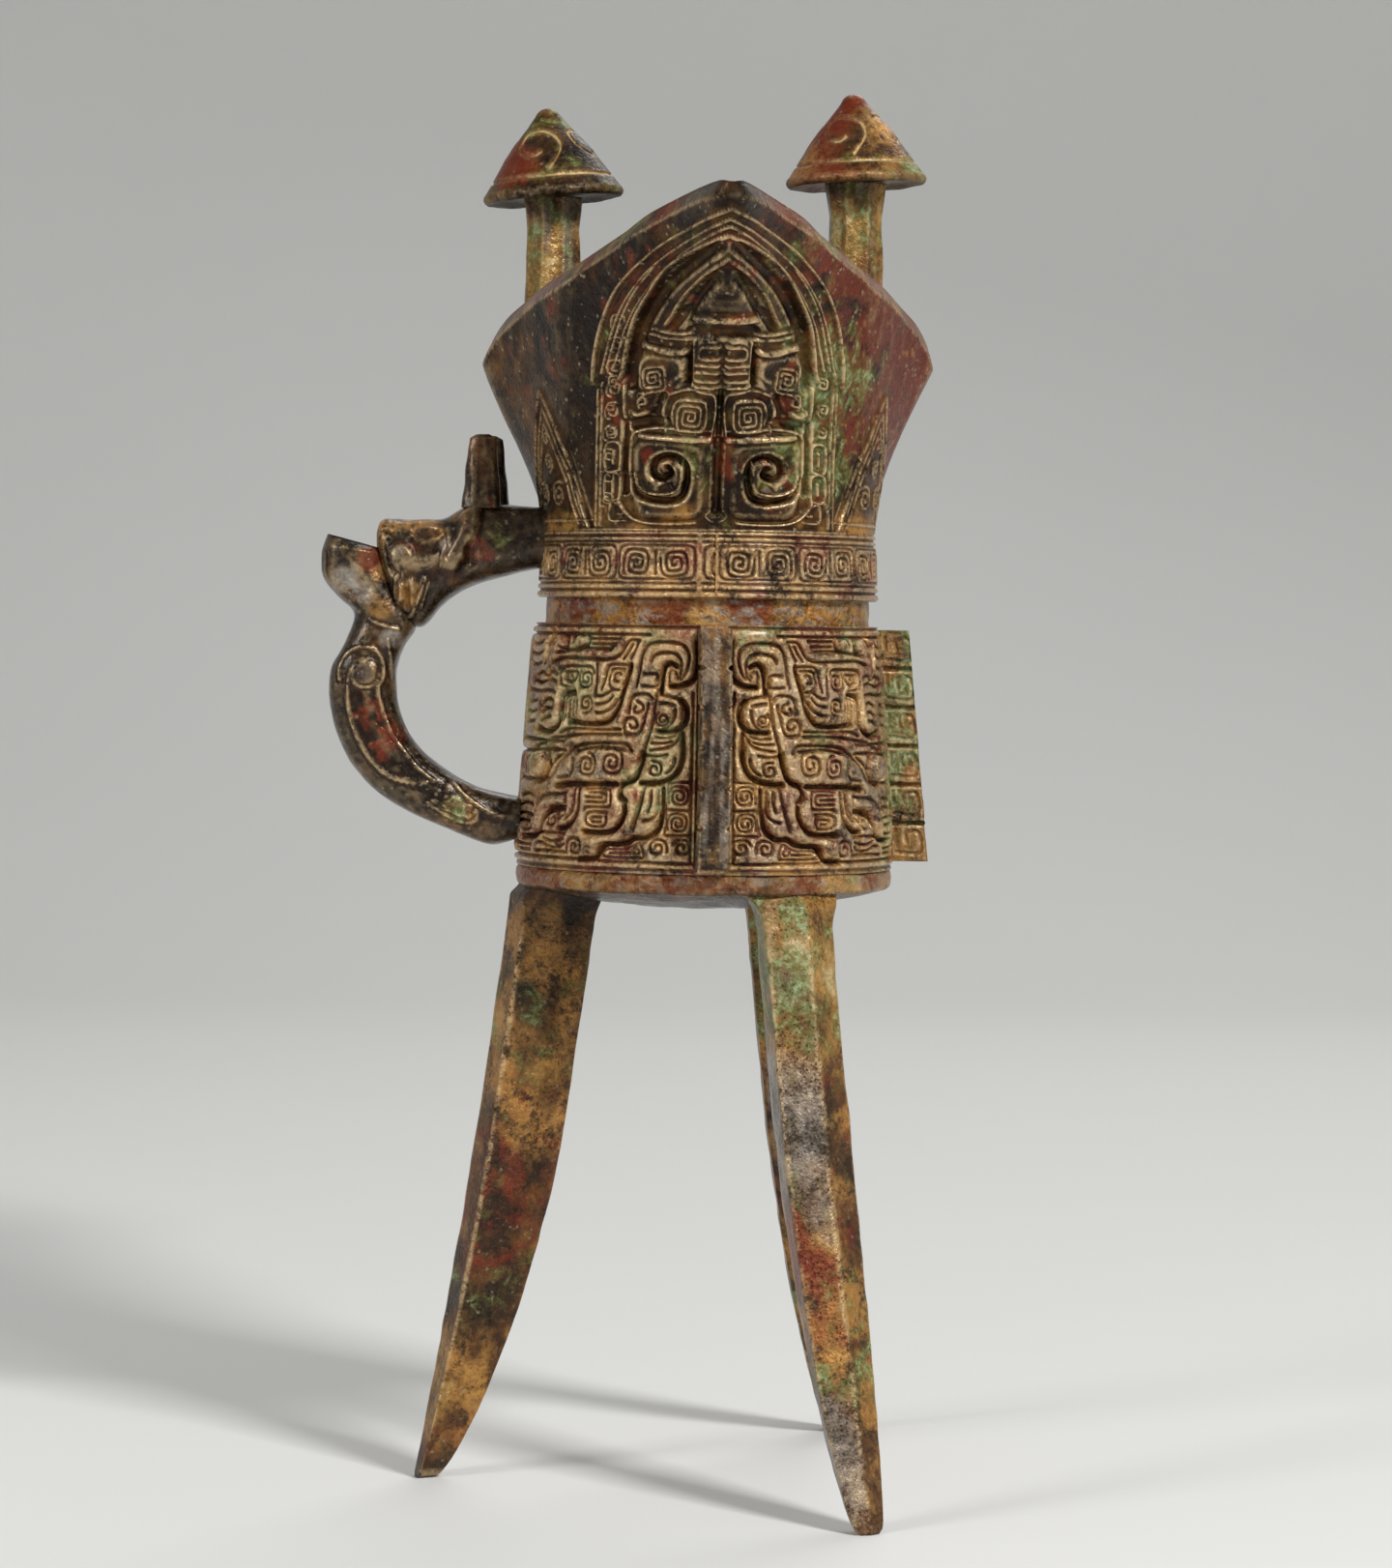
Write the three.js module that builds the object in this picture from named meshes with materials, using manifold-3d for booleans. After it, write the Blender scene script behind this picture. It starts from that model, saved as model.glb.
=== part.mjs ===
// Bronze jue: a ritual wine cup on three blade legs, in millimetres, +Z up.
// The cup's axis is Z while it is built: the tail points to -Y, the spout to +Y and the handle to -X.
// At the end the whole cup is moved so that its origin is the middle of its base.
import * as THREE from "three";
import { mergeVertices } from "three/addons/utils/BufferGeometryUtils.js";
import Module from "manifold-3d";

// Fit between joined pieces
const JOINT_GAP = 0.3;
const TENON_DEPTH = 1.8;

// Vessel, from the floor up
const RING_BOTTOM_HEIGHT = 94.5;
const DOME_DROP = 3.5;
const DOME_POWER = 2.2;
const RING_RADIUS = 29.5;
const RING_HEIGHT = 3;
const BELLY_BOTTOM_RADIUS = 29.6;
const BELLY_TOP_RADIUS = 26.9;
const BELLY_HEIGHT = 38.1;
const BELLY_WALL = 3.4;
const FLOOR_THICKNESS = 4.6;
const FLOOR_CORNER_RADIUS = 4;
const GROOVE_HEIGHT = 3.9;
const GROOVE_DEPTH = 1.5;
const BAND_HEIGHT = 10.2;
const BAND_BOTTOM_RADIUS = 26.6;
const NECK_RADIUS = 26.1;
const EDGE_ROUNDING = 0.5;

// Mouth: tail, widest place and spout
const MOUTH_HALF_WIDTH = 36.8;
const MOUTH_OFFSET = 8;
const MOUTH_RISE = 29;
const MOUTH_WALL = 3;
const RIM_WALL = 2.6;
const TAIL_REACH = 67;
const TAIL_RISE = 21.6;
const SPOUT_REACH = 102;
const SPOUT_RISE = 24.3;
const SPOUT_HALF_WIDTH = 13;
const SPOUT_DEPTH = 30.5;

// Legs
const LEG_DEPTH = 13.9;
const LEG_WIDTH = 12.3;
const LEG_RIDGE = 2.5;
const LEG_EDGE_WIDTH = 1.6;
const LEG_HOLLOW = 0.62;
const LEG_ROOT_FILLET = 2;
const LEG_TAPER_START = 0.4;
const LEG_TAPER_POWER = 1.7;
const LEG_DEPTH_POWER = 0.65;
const FOOT_DEPTH = 3.4;
const FOOT_WIDTH = 3.8;
const LEG_OUTSET = 0.9;
const LEG_CURVE = 0.23;
const HANDLE_LEG_SPLAY = 14.2;
const TAIL_LEG_SPLAY = 21.6;
const SPOUT_LEG_SPLAY = 24.6;
const TAIL_LEG_TURN = -61.4;
const SPOUT_LEG_TURN = 60.7;
const LEG_TENON_LENGTH = 8;
const LEG_TENON_WIDTH = 5;

// Posts and caps
const HANDLE_POST_SPREAD = 25;
const FAR_POST_SPREAD = 24.2;
const POST_OFFSET = 25;
const POST_RADIUS = 4.9;
const POST_SADDLE = 4.5;
const POST_HEIGHT = 26;
const FAR_POST_EXTRA = 3.2;
const HANDLE_CAP_LEAN = 5.5;
const FAR_CAP_LEAN = 3;
const POST_TENON_RADIUS = 2.4;
const POST_TENON_HEIGHT = 5;
const CAP_RADIUS = 11.4;
const CAP_SEAT_RADIUS = 7;
const CAP_HEIGHT = 15;
const CAP_LIP = 1.8;
const CAP_HOLLOW = 0.8;
const CAP_SWELL = 0.5;
const CAP_TIP_RADIUS = 2.2;

// Flanges
const FLANGE_TOP_PROUD = 4.8;
const FLANGE_BOTTOM_PROUD = 5.8;
const FLANGE_LOWER_MARGIN = 1.2;
const FLANGE_SEAT = 1.2;
const FLANGE_FACE_WIDTH = 4.4;
const FLANGE_BASE_WIDTH = 5.6;
const FLANGE_NOTCHES = 5;
const NOTCH_HEIGHT = 1.6;
const NOTCH_DEPTH = 0.6;

// Handle
const HANDLE_LOWER_RISE = 7.1;
const HANDLE_UPPER_DROP = 1;
const HANDLE_REACH = 31.6;
const STRAP_WIDTH = 11;
const STRAP_TENON_RADIUS = 2.6;
const THROAT_PEG_RADIUS = 2;
const THROAT_PEG_DROP = 8.4;
const THROAT_PEG_OUT = 19.6;
const THROAT_PEG_LENGTH = 7;
const HEAD_LENGTH = 26.1;
const HEAD_WIDTH = 12.6;
const HEAD_TENON_RADIUS = 2.8;
const HORN_RISE = 16.1;
const HORN_SEAT = 5.4;
const HORN_OUT = 9.7;
const HORN_SPREAD = 3.4;
const HORN_LENGTH = 6.4;
const HORN_WIDTH = 4.4;
const FAR_HORN_SHIFT = 1.2;
const HORN_TENON_RADIUS = 1.2;
const HORN_TENON_DEPTH = 2.6;
const OBLONG_POWER = 0.7;

// Fineness of the round shapes
const CAP_SIDES = 28;
const POST_SIDES = 8;
const PEG_SIDES = 16;
const HANDLE_SIDES = 14;
const NECK_STEPS = 9;
const LEG_STEPS = 13;
const SLOPE_STEP = 0.05;
const [FINE_FROM, FINE_TO] = [5, 16];

// Heights that follow from the sizes above
const BELLY_BOTTOM = RING_BOTTOM_HEIGHT + RING_HEIGHT;
const BELLY_TOP = BELLY_BOTTOM + BELLY_HEIGHT;
const BAND_BOTTOM = BELLY_TOP + GROOVE_HEIGHT;
const NECK_BOTTOM = BAND_BOTTOM + BAND_HEIGHT;
const SIDE_RIM = NECK_BOTTOM + MOUTH_RISE;
const DOME_BOTTOM = RING_BOTTOM_HEIGHT - DOME_DROP;
const FLOOR_TOP = DOME_BOTTOM + FLOOR_THICKNESS;
const GROOVE_RADIUS = BELLY_TOP_RADIUS - GROOVE_DEPTH;
const HANDLE_LOWER = BELLY_BOTTOM + HANDLE_LOWER_RISE;
const HANDLE_UPPER = NECK_BOTTOM - HANDLE_UPPER_DROP;

// Half of the rim from the widest place to the tail: shares of reach, of half width and of rise
const TAIL_OUTLINE = [
  [1, 0, 0.93],
  [0.985, 0.066, 0.93],
  [0.92, 0.125, 0.92],
  [0.8, 0.222, 0.87],
  [0.707, 0.351, 0.773],
  [0.62, 0.443, 0.68],
  [0.533, 0.533, 0.597],
  [0.427, 0.658, 0.477],
  [0.307, 0.761, 0.393],
  [0.2, 0.84, 0.3],
  [0.09, 0.935, 0.17],
  [0, 1, 0],
];

// Half of the rim from the widest place to the spout's lip, in the same shares
const SPOUT_OUTLINE = [
  [0.066, 0.93, 0],
  [0.135, 0.75, 0.04],
  [0.19, 0.535, 0.11],
  [0.27, 0.34, 0.22],
  [0.37, 0.21, 0.37],
  [0.5, 0.135, 0.55],
  [0.66, 0.08, 0.73],
  [0.82, 0.035, 0.88],
  [0.95, 0.005, 0.985],
];
const LIP_STEPS = 7;
const LIP_FIRST_TURN = 4;
const LIP_SQUARENESS = 2.5;
const LIP_BULGE = 2;

// Degrees from the tail at which evenly spaced rim stations leave the round neck
const NECK_TURNS = [[0], [84], [144], [180]];

// How the wall leaves the neck and reaches the rim, by rim station: shares of rise, of reach and of rise.
// The handle side turns up more roundly than the far side, so it has a share of reach of its own.
const FLARE = [
  { station: 0, start: 0.26, out: 0.6, handleOut: 0.6, rise: 0.47 },
  { station: 4, start: 0.26, out: 0.5, handleOut: 0.48, rise: 0.38 },
  { station: 7, start: 0.25, out: 0.44, handleOut: 0.38, rise: 0.34 },
  { station: 11, start: 0.24, out: 0.46, handleOut: 0.24, rise: 0.345 },
  { station: 14, start: 0.25, out: 0.3, handleOut: 0.24, rise: 0.38 },
  { station: 17, start: 0.24, out: 0.2, handleOut: 0.2, rise: 0.46 },
  { station: 20, start: 0.22, out: 0.22, handleOut: 0.22, rise: 0.54 },
  { station: 27, start: 0.45, out: 0.56, handleOut: 0.56, rise: 0.26 },
];

// Side view of the strap: shares of the handle's reach from the wall, and of the rise between its joints
const STRAP_OUTER = [
  [0, -0.07],
  [0.149, -0.095],
  [0.389, -0.032],
  [0.595, 0.032],
  [0.757, 0.107],
  [0.877, 0.204],
  [0.95, 0.304],
  [0.998, 0.415],
  [0.999, 0.522],
  [0.942, 0.624],
  [0.907, 0.719],
  [0.989, 0.78],
  [1.074, 0.848],
  [1.094, 0.927],
  [1.07, 1.005],
];
const STRAP_INNER = [
  [0, 0.075],
  [0.193, 0.104],
  [0.343, 0.15],
  [0.476, 0.215],
  [0.568, 0.281],
  [0.625, 0.349],
  [0.651, 0.395],
  [0.665, 0.44],
  [0.673, 0.522],
  [0.646, 0.605],
  [0.606, 0.68],
  [0.683, 0.757],
  [0.758, 0.848],
  [0.795, 0.912],
  [0.812, 0.955],
];

// Posts: share of the height and share of the radius, between the saddle on the rim and the seat of the cap
const POST_PROFILE = [
  [0, 1],
  [0.35, 0.96],
  [0.8, 0.93],
];
const POST_SADDLE_SHARE = 0.86;
const POST_SEAT_SHARE = 1.06;

// Horns: share of the height and share of the size of the foot
const HORN_PROFILE = [
  [0, 1],
  [0.3, 0.86],
  [0.8, 0.68],
  [0.95, 0.64],
  [1, 0.48],
];

// Side view of the head: share of its length, underside and top about the upper joint, share of its width
const HEAD_STATIONS = [
  [-0.06, -4.8, 4.9, 0.8],
  [0.03, -4.8, 4.9, 0.8],
  [0.22, -6, 5.3, 0.88],
  [0.4, -7.5, 5.8, 1],
  [0.51, -8.9, 4.3, 1],
  [0.6, -10.8, 2.9, 0.96],
  [0.715, -14, 2.7, 0.92],
  [0.82, -12.2, 2.6, 0.9],
  [0.9, -8.7, 2.7, 0.84],
  [0.945, -5.4, 2.7, 0.78],
  [0.98, -3.2, 2.2, 0.7],
  [1, -1.2, 0.8, 0.5],
];

const wasm = await Module();
wasm.setup();

const mix = (a, b, share) => a + (b - a) * share;
const radians = THREE.MathUtils.degToRad;

// Solid from a closed three.js geometry, its shared vertices merged
function solidFrom(geometry) {
  geometry.deleteAttribute("normal");
  geometry.deleteAttribute("uv");
  const merged = mergeVertices(geometry, 1e-4);
  const vertProperties = new Float32Array(merged.attributes.position.array);
  const triVerts = new Uint32Array(merged.index.array);
  return new wasm.Manifold(new wasm.Mesh({ numProp: 3, vertProperties, triVerts }));
}

// Closed skin over a stack of rings with as many points each, and a point at either end.
// The rings run anticlockwise as seen from the end of the stack.
function loftSolid(startPole, rings, endPole) {
  const count = rings[0].length;
  const points = [startPole, ...rings.flat(), endPole];
  const vertex = (ring, step) => 1 + ring * count + (step % count);
  const last = points.length - 1;
  const index = [];
  for (let step = 0; step < count; step++) {
    index.push(0, vertex(0, step + 1), vertex(0, step));
    for (let ring = 0; ring + 1 < rings.length; ring++) {
      index.push(vertex(ring, step), vertex(ring, step + 1), vertex(ring + 1, step + 1));
      index.push(vertex(ring, step), vertex(ring + 1, step + 1), vertex(ring + 1, step));
    }
    index.push(last, vertex(rings.length - 1, step), vertex(rings.length - 1, step + 1));
  }
  const geometry = new THREE.BufferGeometry().setFromPoints(points);
  geometry.setIndex(index);
  return solidFrom(geometry);
}

const centreOf = (ring) => ring.reduce((sum, p) => sum.add(p), new THREE.Vector3()).divideScalar(ring.length);
const cappedLoft = (rings) => loftSolid(centreOf(rings[0]), rings, centreOf(rings[rings.length - 1]));

// Round peg between two points
function peg(from, to, radius) {
  const along = to.clone().sub(from);
  const length = along.length();
  const geometry = new THREE.CylinderGeometry(radius, radius, length, PEG_SIDES);
  const turn = new THREE.Quaternion().setFromUnitVectors(new THREE.Vector3(0, 1, 0), along.normalize());
  geometry.applyQuaternion(turn);
  geometry.translate(...from.clone().addScaledVector(along, length / 2).toArray());
  return solidFrom(geometry);
}

// Smooth curve through rows of numbers, read at a station that may lie between two rows
function smoothRow(rows, station) {
  const first = Math.min(Math.floor(station), rows.length - 2);
  const share = station - first;
  const row = (k) => rows[THREE.MathUtils.clamp(k, 0, rows.length - 1)];
  return rows[first].map((value, i) => {
    const next = row(first + 1)[i];
    const startSlope = (next - row(first - 1)[i]) / 2;
    const endSlope = (row(first + 2)[i] - value) / 2;
    const cubic = 2 * value - 2 * next + startSlope + endSlope;
    const square = -3 * value + 3 * next - 2 * startSlope - endSlope;
    return ((cubic * share + square) * share + startSlope) * share + value;
  });
}

// Points of the rim's right half, from the tail's tip round to the middle of the spout's lip
function rimPoints() {
  const tail = TAIL_OUTLINE.map(([reach, width, rise]) => [
    width * MOUTH_HALF_WIDTH,
    mix(MOUTH_OFFSET, -TAIL_REACH, reach),
    SIDE_RIM + rise * TAIL_RISE,
  ]);
  const lipStart = SPOUT_REACH - LIP_BULGE;
  const spout = SPOUT_OUTLINE.map(([reach, width, rise]) => [
    mix(SPOUT_HALF_WIDTH, MOUTH_HALF_WIDTH, width),
    mix(MOUTH_OFFSET, lipStart, reach),
    SIDE_RIM + rise * SPOUT_RISE,
  ]);
  const lip = [];
  for (let step = 0; step < LIP_STEPS; step++) {
    const turn = radians(mix(LIP_FIRST_TURN, 90, step / (LIP_STEPS - 1)));
    const across = Math.pow(Math.max(Math.cos(turn), 0), 2 / LIP_SQUARENESS);
    const down = Math.pow(Math.sin(turn), 2 / LIP_SQUARENESS);
    lip.push([
      SPOUT_HALF_WIDTH * (step === LIP_STEPS - 1 ? 0 : across),
      lipStart + LIP_BULGE * down,
      SIDE_RIM + SPOUT_RISE - SPOUT_DEPTH * down,
    ]);
  }
  return [...tail, ...spout, ...lip];
}

const RIM = rimPoints();
const LAST_STATION = RIM.length - 1;

// Shares of the flare at a station, with those of reach under the given name
function flareAt(station, outName) {
  const next = Math.max(FLARE.findIndex((key) => key.station >= station), 1);
  const [a, b] = [FLARE[next - 1], FLARE[next]];
  const share = THREE.MathUtils.smoothstep(station, a.station, b.station);
  const between = (name) => mix(a[name], b[name], share);
  return { start: between("start"), out: between(outName), rise: between("rise") };
}

// Turn about the axis, from the tail, at which a rim station's upright line leaves the round neck
function neckTurn(station) {
  const row = (station / LAST_STATION) * (NECK_TURNS.length - 1);
  return radians(smoothRow(NECK_TURNS, row)[0]);
}

// Point of the mouth's outer skin: station runs once round, height share from the neck to the rim.
// Each upright line is a cubic curve in an upright plane, vertical where it leaves the neck.
function skinPoint(station, share) {
  const mirrored = station > LAST_STATION || station < 0;
  const own = station > LAST_STATION ? 2 * LAST_STATION - station : Math.abs(station);
  const [x, y, z] = smoothRow(RIM, own);
  const { start, out, rise } = flareAt(own, mirrored ? "handleOut" : "out");
  const turn = neckTurn(own);
  const lift = z - NECK_BOTTOM;
  const curve = new THREE.CubicBezierCurve(
    new THREE.Vector2(0, NECK_BOTTOM),
    new THREE.Vector2(0, NECK_BOTTOM + start * lift),
    new THREE.Vector2(1 - out, z - rise * lift),
    new THREE.Vector2(1, z),
  );
  const point = curve.getPoint(share);
  const across = mix(NECK_RADIUS * Math.sin(turn), x, point.x);
  const along = mix(-NECK_RADIUS * Math.cos(turn), y, point.x);
  return new THREE.Vector3(mirrored ? -across : across, along, point.y);
}

// Outward and upward directions of the mouth's outer skin
function skinFrame(station, share) {
  const low = Math.max(share - SLOPE_STEP, 0);
  const high = Math.min(share + SLOPE_STEP, 1);
  const along = skinPoint(station + SLOPE_STEP, share).sub(skinPoint(station - SLOPE_STEP, share));
  const up = skinPoint(station, high).sub(skinPoint(station, low)).normalize();
  return { out: along.cross(up).normalize(), up };
}

// Stations round the mouth: one at every outline point, and one between them where the outline is long
function roundStations() {
  const half = [];
  for (let station = 0; station < LAST_STATION; station++) {
    half.push(station);
    if (station > FINE_FROM && station < FINE_TO) half.push(station + 0.5);
  }
  const mirrored = half.slice(1).map((station) => 2 * LAST_STATION - station);
  return [...half, LAST_STATION, ...mirrored.reverse()];
}

const STATIONS = roundStations();
const DIRECTIONS = STATIONS.map((station) => skinPoint(station, 0).setZ(0).normalize());

const circleRing = (radius, z) => DIRECTIONS.map((d) => d.clone().multiplyScalar(radius).setZ(z));

// Height of the domed underside at a distance from the axis
const domeHeight = (radius) => DOME_BOTTOM + DOME_DROP * Math.pow(radius / RING_RADIUS, DOME_POWER);

// Outside of the vessel below the mouth, as distance from the axis and height
function outerProfile() {
  const dome = [0.25, 0.5, 0.7, 0.87].map((share) => [share * RING_RADIUS, domeHeight(share * RING_RADIUS)]);
  return [
    ...dome,
    [RING_RADIUS - EDGE_ROUNDING, RING_BOTTOM_HEIGHT],
    [RING_RADIUS, RING_BOTTOM_HEIGHT + EDGE_ROUNDING],
    [RING_RADIUS, BELLY_BOTTOM - EDGE_ROUNDING],
    [RING_RADIUS - EDGE_ROUNDING, BELLY_BOTTOM],
    [BELLY_BOTTOM_RADIUS, BELLY_BOTTOM + EDGE_ROUNDING],
    [BELLY_TOP_RADIUS, BELLY_TOP],
    [GROOVE_RADIUS, BELLY_TOP + EDGE_ROUNDING],
    [GROOVE_RADIUS, BAND_BOTTOM - EDGE_ROUNDING],
    [BAND_BOTTOM_RADIUS, BAND_BOTTOM],
  ];
}

// Inside of the vessel below the mouth, from the neck down to the floor
function innerProfile() {
  const corner = FLOOR_CORNER_RADIUS;
  const wallRadius = BELLY_BOTTOM_RADIUS - BELLY_WALL;
  const edge = FLOOR_TOP + DOME_DROP / 2;
  return [
    [BELLY_TOP_RADIUS - BELLY_WALL, BELLY_TOP],
    [wallRadius, edge + corner],
    [wallRadius - corner * (1 - Math.SQRT1_2), edge + corner * (1 - Math.SQRT1_2)],
    [wallRadius - corner, edge],
    [wallRadius / 2, mix(FLOOR_TOP, edge, 1 / 4)],
  ];
}

// Profile moved outward by a distance, square to its own line
function offsetProfile(profile, distance) {
  return profile.map(([radius, z], i) => {
    const [r0, z0] = profile[Math.max(i - 1, 0)];
    const [r1, z1] = profile[Math.min(i + 1, profile.length - 1)];
    const length = Math.hypot(r1 - r0, z1 - z0);
    return [radius + (distance * (z1 - z0)) / length, z - (distance * (r1 - r0)) / length];
  });
}

// The vessel wall, thickened on every face by a clearance when it is used to cut its neighbours
function vesselSolid(clearance) {
  const steps = Array.from({ length: NECK_STEPS + 1 }, (_, i) => i / NECK_STEPS);
  const skinRing = (share, outward) =>
    STATIONS.map((station) =>
      skinPoint(station, share).addScaledVector(skinFrame(station, share).out, outward),
    );
  const outerRing = (share) => skinRing(share, clearance);
  const innerRing = (share) => skinRing(share, -mix(MOUTH_WALL, RIM_WALL, share) - clearance);
  const raised = (ring) =>
    ring.map((point, i) => point.addScaledVector(skinFrame(STATIONS[i], 1).up, clearance));
  const lower = offsetProfile(outerProfile(), clearance).map(([radius, z]) => circleRing(radius, z));
  const inside = offsetProfile(innerProfile(), clearance).map(([radius, z]) => circleRing(radius, z));
  const rings = [
    ...lower,
    ...steps.slice(0, -1).map(outerRing),
    raised(outerRing(1)),
    raised(innerRing(1)),
    ...steps.slice(0, -1).reverse().map(innerRing),
    ...inside,
  ];
  const under = new THREE.Vector3(0, 0, DOME_BOTTOM - clearance);
  const floor = new THREE.Vector3(0, 0, FLOOR_TOP + clearance);
  return loftSolid(under, rings, floor);
}

// Radius of the belly's outside at a height
const bellyRadius = (z) => mix(BELLY_BOTTOM_RADIUS, BELLY_TOP_RADIUS, (z - BELLY_BOTTOM) / BELLY_HEIGHT);

const turnAboutAxis = (points, degrees) =>
  points.map((point) => point.applyAxisAngle(new THREE.Vector3(0, 0, 1), radians(degrees)));

// Section of a leg: ridge outside, two shoulders and a narrow edge towards the cup's axis
function legRing(share, splay) {
  const below = RING_BOTTOM_HEIGHT * share;
  const z = RING_BOTTOM_HEIGHT - below;
  const taper = THREE.MathUtils.clamp((share - LEG_TAPER_START) / (1 - LEG_TAPER_START), 0, 1);
  const swell = 1 - Math.pow(taper, LEG_TAPER_POWER);
  const root = THREE.MathUtils.clamp(1 - (below - DOME_DROP) / LEG_ROOT_FILLET, 0, 1);
  const fillet = LEG_ROOT_FILLET * (1 - Math.sqrt(1 - root * root));
  const bulge = mix(-JOINT_GAP, LEG_OUTSET, THREE.MathUtils.smoothstep(below, 0, LEG_ROOT_FILLET));
  const outer = RING_RADIUS + bulge + splay * mix(share, share * share, LEG_CURVE);
  const inner = outer - mix(FOOT_DEPTH, LEG_DEPTH, Math.pow(swell, LEG_DEPTH_POWER)) - fillet;
  const half = mix(FOOT_WIDTH, LEG_WIDTH, Math.sqrt(swell)) / 2 + fillet;
  const ridge = LEG_RIDGE * Math.min(1, (outer - inner) / LEG_DEPTH);
  const edge = LEG_EDGE_WIDTH / 2;
  return [
    new THREE.Vector3(outer, 0, z),
    new THREE.Vector3(outer - ridge, half, z),
    new THREE.Vector3(mix(outer, inner, LEG_HOLLOW), half * LEG_HOLLOW, z),
    new THREE.Vector3(inner, edge, z),
    new THREE.Vector3(inner, -edge, z),
    new THREE.Vector3(mix(outer, inner, LEG_HOLLOW), -half * LEG_HOLLOW, z),
    new THREE.Vector3(outer - ridge, -half, z),
  ];
}

// Blade leg from its foot up, with extra sections where its root widens under the floor
function legSolid(splay, degrees) {
  const rootDepths = [0, LEG_ROOT_FILLET / 2, LEG_ROOT_FILLET, DOME_DROP, DOME_DROP + LEG_ROOT_FILLET / 2];
  const shares = rootDepths.map((depth) => depth / RING_BOTTOM_HEIGHT);
  const rootEnd = (DOME_DROP + LEG_ROOT_FILLET) / RING_BOTTOM_HEIGHT;
  for (let step = 0; step <= LEG_STEPS; step++) {
    shares.push(mix(rootEnd, 1, step / LEG_STEPS));
  }
  const rings = shares.reverse().map((share) => turnAboutAxis(legRing(share, splay), degrees));
  const top = legRing(0, splay).map((point) => point.setX(point.x - EDGE_ROUNDING));
  const head = turnAboutAxis(top, degrees).map((point) => point.setZ(RING_BOTTOM_HEIGHT + EDGE_ROUNDING));
  return cappedLoft([...rings, head]);
}

// Tenon on top of a leg, or its socket in the cup's floor when it has a clearance
function legTenon(degrees, clearance) {
  const middle = RING_RADIUS - LEG_DEPTH / 2;
  const top = domeHeight(middle) + TENON_DEPTH + clearance;
  const bottom = domeHeight(0) - LEG_ROOT_FILLET;
  const length = LEG_TENON_LENGTH + 2 * clearance;
  const width = LEG_TENON_WIDTH + 2 * clearance;
  const box = new THREE.BoxGeometry(length, width, top - bottom);
  box.translate(middle, 0, (top + bottom) / 2);
  box.rotateZ(radians(degrees));
  return solidFrom(box);
}

// Bar that stands on the belly, notched along both edges; without notches and widened it is its seat
function flangeSolid(degrees, notched, clearance) {
  const bottom = BELLY_BOTTOM + FLANGE_LOWER_MARGIN - clearance;
  const top = BELLY_TOP - EDGE_ROUNDING + clearance;
  const rows = [[bottom, 0]];
  const pitch = (top - bottom) / (FLANGE_NOTCHES + 1);
  for (let notch = 1; notched && notch <= FLANGE_NOTCHES; notch++) {
    const low = bottom + notch * pitch - NOTCH_HEIGHT / 2;
    rows.push([low, 0], [low + NOTCH_DEPTH / 2, NOTCH_DEPTH]);
    rows.push([low + NOTCH_HEIGHT - NOTCH_DEPTH / 2, NOTCH_DEPTH], [low + NOTCH_HEIGHT, 0]);
  }
  rows.push([top, 0]);
  const rings = rows.map(([z, cut]) => {
    const back = bellyRadius(z) - FLANGE_SEAT - clearance;
    const proud = mix(FLANGE_BOTTOM_PROUD, FLANGE_TOP_PROUD, (z - bottom) / (top - bottom));
    const front = bellyRadius(z) + proud + clearance;
    const base = FLANGE_BASE_WIDTH / 2 - cut + clearance;
    const face = FLANGE_FACE_WIDTH / 2 - cut + clearance;
    const ring = [[front, -face], [front, face], [back, base], [back, -base]];
    return turnAboutAxis(ring.map(([x, y]) => new THREE.Vector3(x, y, z)), degrees);
  });
  return cappedLoft(rings);
}

// Place on a post's axis at a height above its foot, leaning towards the handle by an angle
function postFrame(across, height, lean) {
  const turn = new THREE.Matrix4().makeRotationY(radians(-lean));
  return new THREE.Matrix4().makeTranslation(across, POST_OFFSET, SIDE_RIM + height).multiply(turn);
}

// Faceted post that straddles the rim, with a tenon on top for its cap
function postSolid(across, height, lean) {
  const rows = [
    [-POST_SADDLE, POST_SADDLE_SHARE],
    ...POST_PROFILE.map(([share, radius]) => [share * height, radius]),
    [height - JOINT_GAP, POST_SEAT_SHARE],
  ];
  const rings = rows.map(([z, share], row) => {
    const ring = [];
    const frame = postFrame(across, z, row === rows.length - 1 ? lean : 0);
    for (let corner = 0; corner < POST_SIDES; corner++) {
      const turn = ((corner + 0.5) / POST_SIDES) * 2 * Math.PI;
      const radius = POST_RADIUS * share;
      ring.push(new THREE.Vector3(radius * Math.cos(turn), radius * Math.sin(turn), 0).applyMatrix4(frame));
    }
    return ring;
  });
  return cappedLoft(rings).add(capTenon(postFrame(across, height, lean), 0));
}

// Tenon on top of a post, or the bore of its cap when it has a clearance
const capTenon = (frame, clearance) =>
  peg(
    new THREE.Vector3(0, 0, -POST_RADIUS).applyMatrix4(frame),
    new THREE.Vector3(0, 0, POST_TENON_HEIGHT + clearance).applyMatrix4(frame),
    POST_TENON_RADIUS + clearance,
  );

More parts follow.
